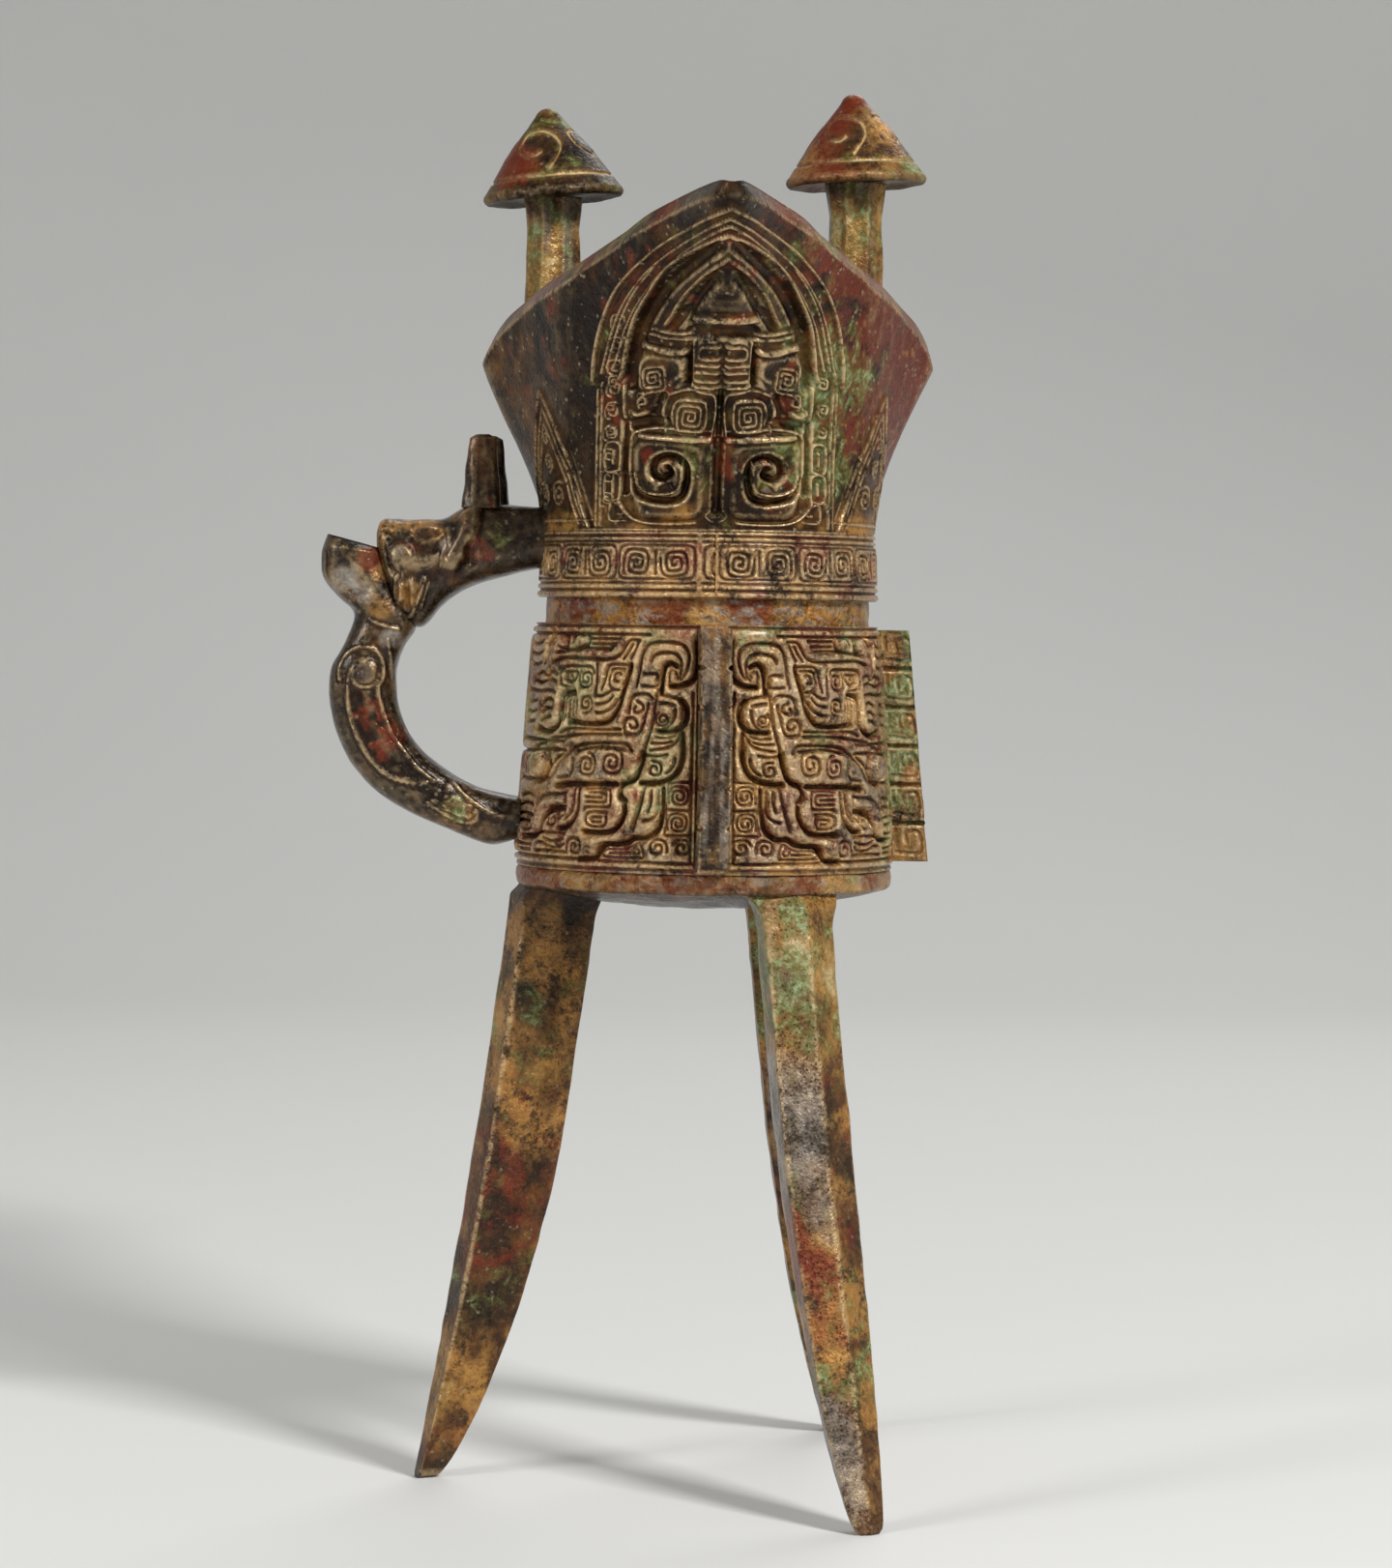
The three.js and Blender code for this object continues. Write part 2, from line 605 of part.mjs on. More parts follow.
// Conical cap with a rounded tip, a thin lip and a shallow hollow underneath, from its seat on the post
function capSolid(frame) {
  const tip = [60, 30, 0].map(radians).map((turn) => [
    CAP_TIP_RADIUS * Math.sin(turn),
    CAP_HEIGHT - CAP_TIP_RADIUS * (1 - Math.cos(turn)) - CAP_HOLLOW,
  ]);
  const lipTop = CAP_LIP - CAP_HOLLOW;
  const profile = [
    [0, 0],
    [CAP_SEAT_RADIUS, 0],
    [CAP_RADIUS - 2 * EDGE_ROUNDING, -CAP_HOLLOW],
    [CAP_RADIUS, lipTop - CAP_LIP / 2],
    [CAP_RADIUS - EDGE_ROUNDING, lipTop],
    [mix(CAP_RADIUS, tip[0][0], 1 / 2) + CAP_SWELL, mix(lipTop, tip[0][1], 1 / 2) + CAP_SWELL],
    ...tip,
  ];
  const lathe = new THREE.LatheGeometry(profile.map(([r, z]) => new THREE.Vector2(r, z)), CAP_SIDES);
  lathe.rotateX(Math.PI / 2);
  lathe.applyMatrix4(frame);
  return solidFrom(lathe).subtract(capTenon(frame, JOINT_GAP));
}

// Rounded oblong ring about a centre, with its two half sizes along two directions
function oblongRing(centre, first, second, firstHalf, secondHalf) {
  const squared = (value) => Math.sign(value) * Math.pow(Math.abs(value), OBLONG_POWER);
  const ring = [];
  for (let side = 0; side < HANDLE_SIDES; side++) {
    const turn = ((side + 0.5) / HANDLE_SIDES) * 2 * Math.PI;
    const a = squared(Math.cos(turn)) * firstHalf;
    const b = squared(Math.sin(turn)) * secondHalf;
    ring.push(centre.clone().addScaledVector(first, a).addScaledVector(second, b));
  }
  return ring;
}

// Point of the handle's side view, from shares of its reach and of the rise between its joints
function handlePoint([out, up]) {
  const wall = mix(bellyRadius(HANDLE_LOWER), NECK_RADIUS, up);
  return new THREE.Vector3(-wall - out * HANDLE_REACH, 0, mix(HANDLE_LOWER, HANDLE_UPPER, up));
}

// Strap of the handle, from inside the wall at its lower joint to its flared lip
function strapSolid(clearance) {
  const across = new THREE.Vector3(0, 1, 0);
  const rings = STRAP_OUTER.map((outer, i) => {
    const from = handlePoint(outer);
    const to = handlePoint(STRAP_INNER[i]);
    const middle = from.clone().add(to).divideScalar(2);
    const half = from.distanceTo(to) / 2 + clearance;
    const first = to.sub(from).normalize();
    return oblongRing(middle, first, across, half, STRAP_WIDTH / 2 + clearance);
  });
  const start = rings[0].map((point) => point.clone().setX(point.x + BELLY_WALL / 2));
  return cappedLoft([start, ...rings]);
}

// Tenon of the strap's lower joint, or its socket in the wall when it has a clearance
const strapTenon = (clearance) =>
  peg(
    new THREE.Vector3(-bellyRadius(HANDLE_LOWER) + TENON_DEPTH + clearance, 0, HANDLE_LOWER),
    new THREE.Vector3(-bellyRadius(HANDLE_LOWER) - TENON_DEPTH - clearance, 0, HANDLE_LOWER),
    STRAP_TENON_RADIUS + clearance,
  );

// Head and neck of the beast, from inside the wall out to the snout
function headSolid() {
  const up = new THREE.Vector3(0, 0, 1);
  const across = new THREE.Vector3(0, 1, 0);
  const rings = HEAD_STATIONS.map(([share, underside, top, width]) => {
    const x = -NECK_RADIUS - share * HEAD_LENGTH;
    const centre = new THREE.Vector3(x, 0, HANDLE_UPPER + (underside + top) / 2);
    return oblongRing(centre, up, across, (top - underside) / 2, (width * HEAD_WIDTH) / 2);
  });
  return cappedLoft(rings);
}

// Tenon of the head's joint with the wall, or its socket when it has a clearance
const headTenon = (clearance) =>
  peg(
    new THREE.Vector3(-NECK_RADIUS + TENON_DEPTH + clearance, 0, HANDLE_UPPER),
    new THREE.Vector3(-NECK_RADIUS - TENON_DEPTH - clearance, 0, HANDLE_UPPER),
    HEAD_TENON_RADIUS + clearance,
  );

// Peg from the head's jaw into the strap where the beast bites it
function throatPeg(clearance) {
  const z = HANDLE_UPPER - THROAT_PEG_DROP;
  const inside = -NECK_RADIUS - THROAT_PEG_OUT;
  return peg(
    new THREE.Vector3(inside, 0, z),
    new THREE.Vector3(inside - THROAT_PEG_LENGTH - clearance, 0, z),
    THROAT_PEG_RADIUS + clearance,
  );
}

// Horn with its foot let into the head
function hornSolid(side, shift, clearance) {
  const bottom = HANDLE_UPPER + HORN_SEAT - clearance;
  const top = HANDLE_UPPER + HORN_RISE;
  const along = new THREE.Vector3(1, 0, 0);
  const across = new THREE.Vector3(0, 1, 0);
  const rings = HORN_PROFILE.map(([height, share]) => {
    const z = mix(bottom, top, height);
    const centre = new THREE.Vector3(-NECK_RADIUS - HORN_OUT + shift, side * HORN_SPREAD, z);
    const length = (HORN_LENGTH / 2) * share + clearance;
    return oblongRing(centre, along, across, length, (HORN_WIDTH / 2) * share + clearance);
  });
  return cappedLoft(rings);
}

// Tenon under a horn, or its socket in the head when it has a clearance
const hornTenon = (side, shift, clearance) => {
  const x = -NECK_RADIUS - HORN_OUT + shift;
  const seat = HANDLE_UPPER + HORN_SEAT;
  return peg(
    new THREE.Vector3(x, side * HORN_SPREAD, seat - HORN_TENON_DEPTH - clearance),
    new THREE.Vector3(x, side * HORN_SPREAD, seat + HORN_TENON_DEPTH),
    HORN_TENON_RADIUS + clearance,
  );
};

const LEGS = [
  { name: "leg_handle_side", splay: HANDLE_LEG_SPLAY, turn: 180 },
  { name: "leg_tail_side", splay: TAIL_LEG_SPLAY, turn: TAIL_LEG_TURN },
  { name: "leg_spout_side", splay: SPOUT_LEG_SPLAY, turn: SPOUT_LEG_TURN },
];
const FLANGES = [
  { name: "flange_tail", turn: -90 },
  { name: "flange_side", turn: 0 },
  { name: "flange_spout", turn: 90 },
];
const POSTS = [
  { place: "handle_side", across: -HANDLE_POST_SPREAD, height: POST_HEIGHT, lean: HANDLE_CAP_LEAN },
  { place: "far_side", across: FAR_POST_SPREAD, height: POST_HEIGHT + FAR_POST_EXTRA, lean: FAR_CAP_LEAN },
];
const HORNS = [
  { name: "beast_horn_tail_side", side: -1, shift: 0 },
  { name: "beast_horn_spout_side", side: 1, shift: FAR_HORN_SHIFT },
];

const group = new THREE.Group();

// Adds a solid to the cup as a named piece of bronze
function addPiece(name, solid, color, roughness = 0.5, metalness = 0.75) {
  const mesh = solid.getMesh();
  const geometry = new THREE.BufferGeometry();
  geometry.setAttribute("position", new THREE.BufferAttribute(mesh.vertProperties, 3));
  geometry.setIndex(new THREE.BufferAttribute(mesh.triVerts, 1));
  geometry.computeVertexNormals();
  const piece = new THREE.Mesh(geometry, new THREE.MeshStandardMaterial({ color, roughness, metalness }));
  piece.name = name;
  group.add(piece);
}

const cutter = vesselSolid(JOINT_GAP);
let vessel = vesselSolid(0);

for (const { name, splay, turn } of LEGS) {
  vessel = vessel.subtract(legTenon(turn, JOINT_GAP));
  addPiece(name, legSolid(splay, turn).subtract(cutter).add(legTenon(turn, 0)), "#6b5a35", 0.55);
}

for (const { name, turn } of FLANGES) {
  vessel = vessel.subtract(flangeSolid(turn, false, JOINT_GAP));
  addPiece(name, flangeSolid(turn, true, 0), "#3f3b2c");
}

for (const { place, across, height, lean } of POSTS) {
  addPiece(`post_${place}`, postSolid(across, height, lean).subtract(cutter), "#6d5c3a", 0.6);
  addPiece(`cap_${place}`, capSolid(postFrame(across, height, lean)), "#5d3325");
}

vessel = vessel.subtract(strapTenon(JOINT_GAP)).subtract(headTenon(JOINT_GAP));
const strap = strapSolid(0).subtract(cutter).subtract(throatPeg(JOINT_GAP)).add(strapTenon(0));
let head = headSolid().subtract(cutter).subtract(strapSolid(JOINT_GAP));
head = head.add(headTenon(0)).add(throatPeg(0));
for (const { name, side, shift } of HORNS) {
  head = head.subtract(hornSolid(side, shift, JOINT_GAP)).subtract(hornTenon(side, shift, JOINT_GAP));
  addPiece(name, hornSolid(side, shift, 0).add(hornTenon(side, shift, 0)), "#3a2a20");
}

addPiece("handle_strap", strap, "#46382a");
addPiece("beast_head", head, "#4c3a28");
addPiece("cup_body", vessel, "#4a3a28");

// The origin is the middle of the base
const box = new THREE.Box3().setFromObject(group);
const middle = box.getCenter(new THREE.Vector3());
group.position.set(-middle.x, -middle.y, -box.min.z);

export default group;
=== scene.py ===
"""Looks of a bronze jue, a ritual wine cup on three blade legs.

Shapes are worked out in millimetres about the cup's axis: the tail points to -Y, the spout to +Y and the
handle to -X. Each finished piece is then put into the part's own frame, in metres.
"""

import math

import bpy
import numpy as np
from mathutils import Matrix, Vector


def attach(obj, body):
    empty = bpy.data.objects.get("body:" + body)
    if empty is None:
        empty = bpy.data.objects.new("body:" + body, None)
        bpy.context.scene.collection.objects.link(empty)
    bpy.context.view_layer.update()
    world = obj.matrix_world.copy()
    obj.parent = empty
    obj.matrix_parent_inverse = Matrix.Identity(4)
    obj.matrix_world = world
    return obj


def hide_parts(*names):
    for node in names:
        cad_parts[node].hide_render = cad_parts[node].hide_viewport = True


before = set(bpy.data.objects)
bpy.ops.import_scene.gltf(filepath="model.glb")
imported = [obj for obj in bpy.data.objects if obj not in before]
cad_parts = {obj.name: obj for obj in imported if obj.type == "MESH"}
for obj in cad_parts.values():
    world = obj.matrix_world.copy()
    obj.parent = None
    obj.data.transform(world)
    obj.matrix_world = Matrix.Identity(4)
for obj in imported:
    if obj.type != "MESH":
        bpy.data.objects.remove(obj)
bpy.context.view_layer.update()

# From the cup's axis to the middle of its base, in millimetres
PLACE = np.array([12.003, -17.5, 0.0])

# Vessel
RING_BOTTOM = 94.5
DOME_BOTTOM = 91.0
RING_RADIUS = 29.5
BELLY_BOTTOM, BELLY_TOP = 97.5, 135.6
BELLY_RADII = (29.6, 26.9)
GROOVE_RADIUS = 25.4
BAND_BOTTOM, NECK_BOTTOM = 139.5, 149.7
BAND_RADII = (26.6, 26.1)
SIDE_RIM = 178.7
FLOOR_TOP = 95.6
WALL = 3.4
MOUTH_HALF_WIDTH, MOUTH_OFFSET = 36.8, 8.0
MOUTH_WALL, RIM_WALL = 3.0, 2.6
TAIL_REACH, TAIL_RISE = 67.0, 21.6
SPOUT_REACH, SPOUT_RISE, SPOUT_HALF_WIDTH, SPOUT_DEPTH = 102.0, 24.3, 13.0, 30.5
# The belly's ornament is drawn flat, over the arc at this radius, a quarter of the cup to a sheet
ARC_RADIUS = 28
QUARTER = math.pi / 2 * ARC_RADIUS
LIP_LENGTH = 2
CHAMFER_LENGTH = 2.5
RIM_ROWS = 5

# Half of the rim from the tail to the widest place: shares of reach, of half width and of rise
TAIL_OUTLINE = [
    [1, 0, 0.93], [0.985, 0.066, 0.93], [0.92, 0.125, 0.92], [0.8, 0.222, 0.87], [0.707, 0.351, 0.773],
    [0.62, 0.443, 0.68], [0.533, 0.533, 0.597], [0.427, 0.658, 0.477], [0.307, 0.761, 0.393],
    [0.2, 0.84, 0.3], [0.09, 0.935, 0.17], [0, 1, 0],
]
# And from the widest place to the spout's lip, in the same shares
SPOUT_OUTLINE = [
    [0.066, 0.93, 0], [0.135, 0.75, 0.04], [0.19, 0.535, 0.11], [0.27, 0.34, 0.22], [0.37, 0.21, 0.37],
    [0.5, 0.135, 0.55], [0.66, 0.08, 0.73], [0.82, 0.035, 0.88], [0.95, 0.005, 0.985],
]
# How the wall leaves the neck and reaches the rim: station, start, out, out on the handle's side, rise
FLARE = np.array([
    [0, 0.26, 0.6, 0.6, 0.47], [4, 0.26, 0.5, 0.48, 0.38], [7, 0.25, 0.44, 0.38, 0.34],
    [11, 0.24, 0.46, 0.24, 0.345], [14, 0.25, 0.3, 0.24, 0.38], [17, 0.24, 0.2, 0.2, 0.46],
    [20, 0.22, 0.22, 0.22, 0.54], [27, 0.45, 0.56, 0.56, 0.26],
])
# Degrees from the tail at which evenly spaced stations leave the round neck
NECK_TURNS = [[0], [84], [144], [180]]


def mix(a, b, share):
    """Value that lies a share of the way from a to b."""
    return a + (b - a) * share


def ease(value, low, high):
    """Smooth step from 0 at low to 1 at high."""
    share = np.clip((value - low) / (high - low), 0, 1)
    return share * share * (3 - 2 * share)


def smooth_rows(rows, station):
    """Catmull-Rom curve through the rows, read at an array of stations counted in rows."""
    rows = np.asarray(rows, float)
    first = np.clip(np.floor(station).astype(int), 0, len(rows) - 2)
    share = (station - first)[..., None]
    row = lambda k: rows[np.clip(k, 0, len(rows) - 1)]
    start, end = rows[first], rows[first + 1]
    start_slope = (end - row(first - 1)) / 2
    end_slope = (row(first + 2) - start) / 2
    cubic = 2 * start - 2 * end + start_slope + end_slope
    square = -3 * start + 3 * end - 2 * start_slope - end_slope
    return ((cubic * share + square) * share + start_slope) * share + start


def blurred(grid, cells):
    """Running mean over 2 * cells + 1 rows and columns, with the edge values carried on."""
    for axis in (0, 1):
        padding = [(0, 0)] * grid.ndim
        padding[axis] = (cells + 1, cells)
        total = np.cumsum(np.pad(grid, padding, mode="edge"), axis=axis)
        count = 2 * cells + 1
        high = np.take(total, range(count, total.shape[axis]), axis=axis)
        low = np.take(total, range(0, total.shape[axis] - count), axis=axis)
        grid = (high - low) / count
    return grid


def unevenness(points, size, seed):
    """Soft noise between -1 and 1: random numbers on a lattice of the given size, blended smoothly."""
    cell = points / size + seed * 17.3
    base = np.floor(cell).astype(np.int64)
    share = cell - base
    share = share * share * (3 - 2 * share)
    total = np.zeros(points.shape[:-1])
    for corner in range(8):
        step = np.array([corner & 1, corner >> 1 & 1, corner >> 2 & 1])
        key = ((base + step) * np.array([73856093, 19349663, 83492791])).sum(-1)
        value = (np.sin(key * 12.9898 + seed) * 43758.5453) % 1.0
        weight = np.where(step, share, 1 - share).prod(-1)
        total += value * weight
    return total * 2 - 1


def streaked(points, squeeze, size, seed):
    """Noise read at points whose heights are multiplied first: drawn out upwards by less than 1."""
    return unevenness(points * [1, 1, squeeze], size, seed)


# Ornament drawn with strokes


def smooth_line(numbers, step=0.35):
    """Curve through the x, y pairs of a flat list, as points about a step apart."""
    points = np.array(numbers, float).reshape(-1, 2)
    if len(points) < 3:
        return points
    lengths = np.linalg.norm(np.diff(points, axis=0), axis=1)
    stations = [np.arange(0, 1, 1 / max(1, math.ceil(length / step))) + k for k, length in enumerate(lengths)]
    return smooth_rows(points, np.append(np.concatenate(stations), len(points) - 1.0))


class Plate:
    """A flat sheet of ornament: heights in millimetres on a fine grid, raised and cut by strokes."""

    def __init__(self, left, bottom, right, top, pitch=0.1):
        self.left, self.bottom, self.pitch = left, bottom, pitch
        self.columns = int((right - left) / pitch) + 2
        self.rows = int((top - bottom) / pitch) + 2
        self.raised = np.zeros((self.rows, self.columns))
        self.cut = np.zeros((self.rows, self.columns))

    def window(self, low, high):
        """Index ranges and coordinates of the cells between two corners."""
        j0 = max(0, int((low[0] - self.left) / self.pitch))
        j1 = min(self.columns, int((high[0] - self.left) / self.pitch) + 2)
        i0 = max(0, int((low[1] - self.bottom) / self.pitch))
        i1 = min(self.rows, int((high[1] - self.bottom) / self.pitch) + 2)
        x = self.left + self.pitch * np.arange(j0, j1)
        y = self.bottom + self.pitch * np.arange(i0, i1)
        return slice(i0, i1), slice(j0, j1), x[None, :], y[:, None]

    def stroke(self, line, width, height, soft=0.16):
        """A line of the given width: the height fades to nothing over the soft distance at either side."""
        line = smooth_line(line) if not isinstance(line, np.ndarray) else line
        layer = self.raised if height > 0 else self.cut
        reach = width / 2 + soft
        for a, b in zip(line[:-1], line[1:]):
            rows, columns, x, y = self.window(np.minimum(a, b) - reach, np.maximum(a, b) + reach)
            if rows.start >= rows.stop or columns.start >= columns.stop:
                continue
            along = b - a
            share = np.clip(((x - a[0]) * along[0] + (y - a[1]) * along[1]) / max(along @ along, 1e-9), 0, 1)
            distance = np.hypot(x - a[0] - share * along[0], y - a[1] - share * along[1])
            lifted = abs(height) * ease(reach - distance, 0, 2 * soft)
            layer[rows, columns] = np.maximum(layer[rows, columns], lifted)

    def strokes(self, lines, width, height, soft=0.16):
        for line in lines:
            self.stroke(line, width, height, soft)

    def boss(self, x, y, radius, height):
        """A round dome: height times the root of one less the squared distance over the radius."""
        rows, columns, u, v = self.window((x - radius, y - radius), (x + radius, y + radius))
        square = np.clip(1 - ((u - x) ** 2 + (v - y) ** 2) / radius**2, 0, 1)
        self.raised[rows, columns] = np.maximum(self.raised[rows, columns], height * np.sqrt(square))

    def crowd(self, cells=5):
        """How closely the cuts lie together, as a soft mean of their depths."""
        return blurred(blurred(self.cut, cells), cells)

    def heights(self, pillow=0.0):
        """Raised less cut. With a pillow, ground among close cuts sinks too: wide forms stand rounded."""
        return self.raised - self.cut - pillow * (self.crowd() if pillow else 0)

    def read(self, sheet, x, y):
        """Values of a sheet at arrays of places, blended between the four nearest cells."""
        u = np.clip((x - self.left) / self.pitch, 0, self.columns - 1.001)
        v = np.clip((y - self.bottom) / self.pitch, 0, self.rows - 1.001)
        j, i = u.astype(int), v.astype(int)
        a, b = v - i, u - j
        low = sheet[i, j] * (1 - b) + sheet[i, j + 1] * b
        high = sheet[i + 1, j] * (1 - b) + sheet[i + 1, j + 1] * b
        return low * (1 - a) + high * a


def spiral(x, y, radius, turns=2.2, start=0.0, squareness=3.0, inner=0.35, flip=1):
    """Rounded-square spiral from its eye out: a superellipse whose radius grows with the turn."""
    turn = np.linspace(0, turns * 2 * math.pi, int(turns * 26))
    angle = math.radians(start) + flip * turn
    reach = mix(inner, radius, turn / turn[-1])
    c, s = np.cos(angle), np.sin(angle)
    reach = reach / (np.abs(c) ** squareness + np.abs(s) ** squareness) ** (1 / squareness)
    return np.stack([x + reach * c, y + reach * s], -1)


def rounded_box(left, bottom, right, top, radius=0.8):
    """Closed outline of a box with rounded corners."""
    turn = np.linspace(0, math.pi / 2, 5)
    corners = [(right, top, 0), (left, top, 1), (left, bottom, 2), (right, bottom, 3)]
    points = []
    for x, y, quarter in corners:
        cx = x - radius if x == right else x + radius
        cy = y - radius if y == top else y + radius
        angle = turn + quarter * math.pi / 2
        points.append(np.stack([cx + radius * np.cos(angle), cy + radius * np.sin(angle)], -1))
    points = np.concatenate(points)
    return np.concatenate([points, points[:1]])


# Meshes


def grid_normals(points, wrap_rows, wrap_columns):
    """Unit normals of a grid of points, from differences along its rows and columns."""

    def slope(axis, wrap):
        if wrap:
            return np.roll(points, -1, axis) - np.roll(points, 1, axis)
        return np.gradient(points, axis=axis)

    normal = np.cross(slope(1, wrap_columns), slope(0, wrap_rows))
    return normal / np.maximum(np.linalg.norm(normal, axis=-1, keepdims=True), 1e-9)


def edge_masks(points, normals, cells, depth):
    """Ridge and hollow masks: how far a point stands above or below the mean of its neighbours."""
    lift = ((points - blurred(points, cells)) * normals).sum(-1) / depth
    return np.clip(lift, 0, 1), np.clip(-lift, 0, 1)


def piece(name, points, material, nodes, wrap=(False, True), masks=None):
    """Mesh from a grid of points, closed along wrapped rows or columns and with flat ends otherwise.

    masks are values per point, kept as attributes that the material reads.
    """
    rows, columns = points.shape[:2]
    r = np.arange(rows if wrap[0] else rows - 1)[:, None]
    c = np.arange(columns if wrap[1] else columns - 1)[None, :]
    r_next, c_next = (r + 1) % rows, (c + 1) % columns
    corners = [r * columns + c, r * columns + c_next, r_next * columns + c_next, r_next * columns + c]
    quads = np.stack([np.broadcast_to(k, (r.size, c.size)) for k in corners], -1).reshape(-1, 4)
    if wrap[0]:
        ends = [np.arange(rows) * columns, np.arange(rows)[::-1] * columns + columns - 1]
    else:
        ends = [np.arange(columns)[::-1], np.arange(columns) + (rows - 1) * columns]
    flat = points.reshape(-1, 3)
    a, b, d, e = (flat[quads[:, k]] for k in range(4))
    middle = flat.mean(0)
    # The sign of the enclosed volume tells whether the faces look inwards
    volume = np.einsum("ij,ij->", np.cross(a - middle, d - middle), e - b)
    if volume > 0:
        quads = quads[:, ::-1]
        ends = [end[::-1] for end in ends]
    loops = np.concatenate([quads.ravel(), *ends]).astype(np.int32)
    sizes = np.array([4] * len(quads) + [len(end) for end in ends])
    starts = np.concatenate([[0], np.cumsum(sizes)[:-1]]).astype(np.int32)
    mesh = bpy.data.meshes.new(name)
    mesh.vertices.add(len(flat))
    mesh.vertices.foreach_set("co", ((flat + PLACE) / 1000).astype(np.float32).ravel())
    mesh.loops.add(len(loops))
    mesh.loops.foreach_set("vertex_index", loops)
    mesh.polygons.add(len(sizes))
    mesh.polygons.foreach_set("loop_start", starts)
    mesh.update(calc_edges=True)
    smooth = np.ones(len(sizes), bool)
    smooth[len(quads):] = False
    mesh.polygons.foreach_set("use_smooth", smooth)
    for mask_name, values in (masks or {}).items():
        attribute = mesh.attributes.new(mask_name, "FLOAT", "POINT")
        values = np.broadcast_to(values, (rows, columns)).astype(np.float32)
        attribute.data.foreach_set("value", values.ravel())
    mesh.validate()
    mesh.materials.append(material)
    made = bpy.data.objects.new(name + "_cast", mesh)
    bpy.context.scene.collection.objects.link(made)
    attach(made, "root")
    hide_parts(*nodes)
    return made


def raised(points, normals, lift, cells, depth):
    """Points moved along their normals by the lift, with the ridge and hollow masks of the new surface."""
    points = points + normals * lift[..., None]
    return points, *edge_masks(points, normals, cells, depth)


def turned(x, y, z, degrees):
    """Points of a piece drawn along +X, turned about the cup's axis."""
    c, s = math.cos(math.radians(degrees)), math.sin(math.radians(degrees))
    return np.stack([x * c - y * s, x * s + y * c, z], -1)


def on_outline(corners, station):
    """Values on closed polygons, one to each row of corners, at stations counted in corners."""
    first = station.astype(int)
    return mix(corners[:, first], corners[:, (first + 1) % corners.shape[1]], station % 1)


def relief_masks(points, front_rows, cells=3, depth=0.12):
    """Ridge and hollow masks of the first rows of a closed loop of rows; the rest has none."""
    front = points[:front_rows]
    crest, hollow = edge_masks(front, grid_normals(front, False, False), cells, depth)
    masks = {"crest": np.zeros(points.shape[:2]), "hollow": np.zeros(points.shape[:2])}
    masks["crest"][:front_rows] = crest
    masks["hollow"][:front_rows] = hollow
    return masks


# Materials


class Nodes:
    """Adds nodes to a tree and links them."""

    def __init__(self, tree):
        self.tree = tree

    def give(self, socket, value):
        """Link a socket to another one, or give it a plain value."""
        if isinstance(value, bpy.types.NodeSocket):
            self.tree.links.new(value, socket)
        else:
            socket.default_value = value

    def add(self, kind, inputs=None, **settings):
        made = self.tree.nodes.new(kind)
        for key, value in settings.items():
            setattr(made, key, value)
        for key, value in (inputs or {}).items():
            self.give(made.inputs[key], value)
        return made

    def math(self, operation, a, b, clamp=False):
        made = self.add("ShaderNodeMath", {0: a, 1: b}, operation=operation, use_clamp=clamp)
        return made.outputs[0]

    def plus(self, total, *others):
        for other in others:
            total = self.math("ADD", total, other)
        return total

    def minus(self, a, b):
        return self.math("SUBTRACT", a, b)

    def times(self, a, b, clamp=False):
        return self.math("MULTIPLY", a, b, clamp)

    def spread(self, value, gain):
        """How far a value is from a half, times a gain."""
        return self.times(self.minus(value, 0.5), gain)

    def blend(self, factor, a, b):
        """Colour between a and b, each a socket or three numbers."""
        made = self.add("ShaderNodeMix", {"Factor": factor}, data_type="RGBA")
        for socket, value in ((made.inputs[6], a), (made.inputs[7], b)):
            self.give(socket, (*value, 1) if isinstance(value, tuple) else value)
        return made.outputs[2]

    def step(self, value, low, high):
        """Smooth step from 0 at low to 1 at high."""
        inputs = {"Value": value, "From Min": low, "From Max": high}
        return self.add("ShaderNodeMapRange", inputs, interpolation_type="SMOOTHSTEP").outputs[0]

    def noise(self, vector, scale, detail=4.0, roughness=0.55, distortion=0.0):
        inputs = {"Vector": vector, "Scale": scale, "Detail": detail, "Roughness": roughness}
        return self.add("ShaderNodeTexNoise", {**inputs, "Distortion": distortion}).outputs["Fac"]

    def scattered(self, vector, scale):
        """Distance to the nearest of scattered points."""
        inputs = {"Vector": vector, "Scale": scale, "Randomness": 1.0}
        return self.add("ShaderNodeTexVoronoi", inputs).outputs["Distance"]

    def shifted(self, vector, x, y, z):
        return self.add("ShaderNodeVectorMath", {0: vector, 1: (x, y, z)}, operation="ADD").outputs[0]

    def ramp(self, value, stops):
        made = self.add("ShaderNodeValToRGB", {"Fac": value})
        elements = made.color_ramp.elements
        while len(elements) < len(stops):
            elements.new(0.5)
        for element, (place, colour) in zip(elements, stops):
            element.position = place
            element.color = (*colour, 1)
        return made.outputs["Color"]


# What a material can set of the patina, with the values it has otherwise; pieces add their masks to some
# The amount of pale ridge colour covers wear and, on the legs' corners and the mouth's rim, painted
# highlights; the amount of hollow darkening covers dirt and, under the cup and the caps, painted shade; grey
# is a grey patina and, on several pieces, a painted sheen or reflection
PATINA_INPUTS = {
    "Tone": 0.45, "Red": 0.3, "Green": 0.2, "Crest": 0.0, "Hollow": 0.0, "Ochre": 0.0,
    "Grey": 0.0, "Worn": 0.6, "Grime": 0.7, "Gloss": 0.5, "Fleck": 0.4, "Pitted": 0.3,
}
MASKS = ("crest", "hollow", "red", "green", "ochre", "grey", "tone")
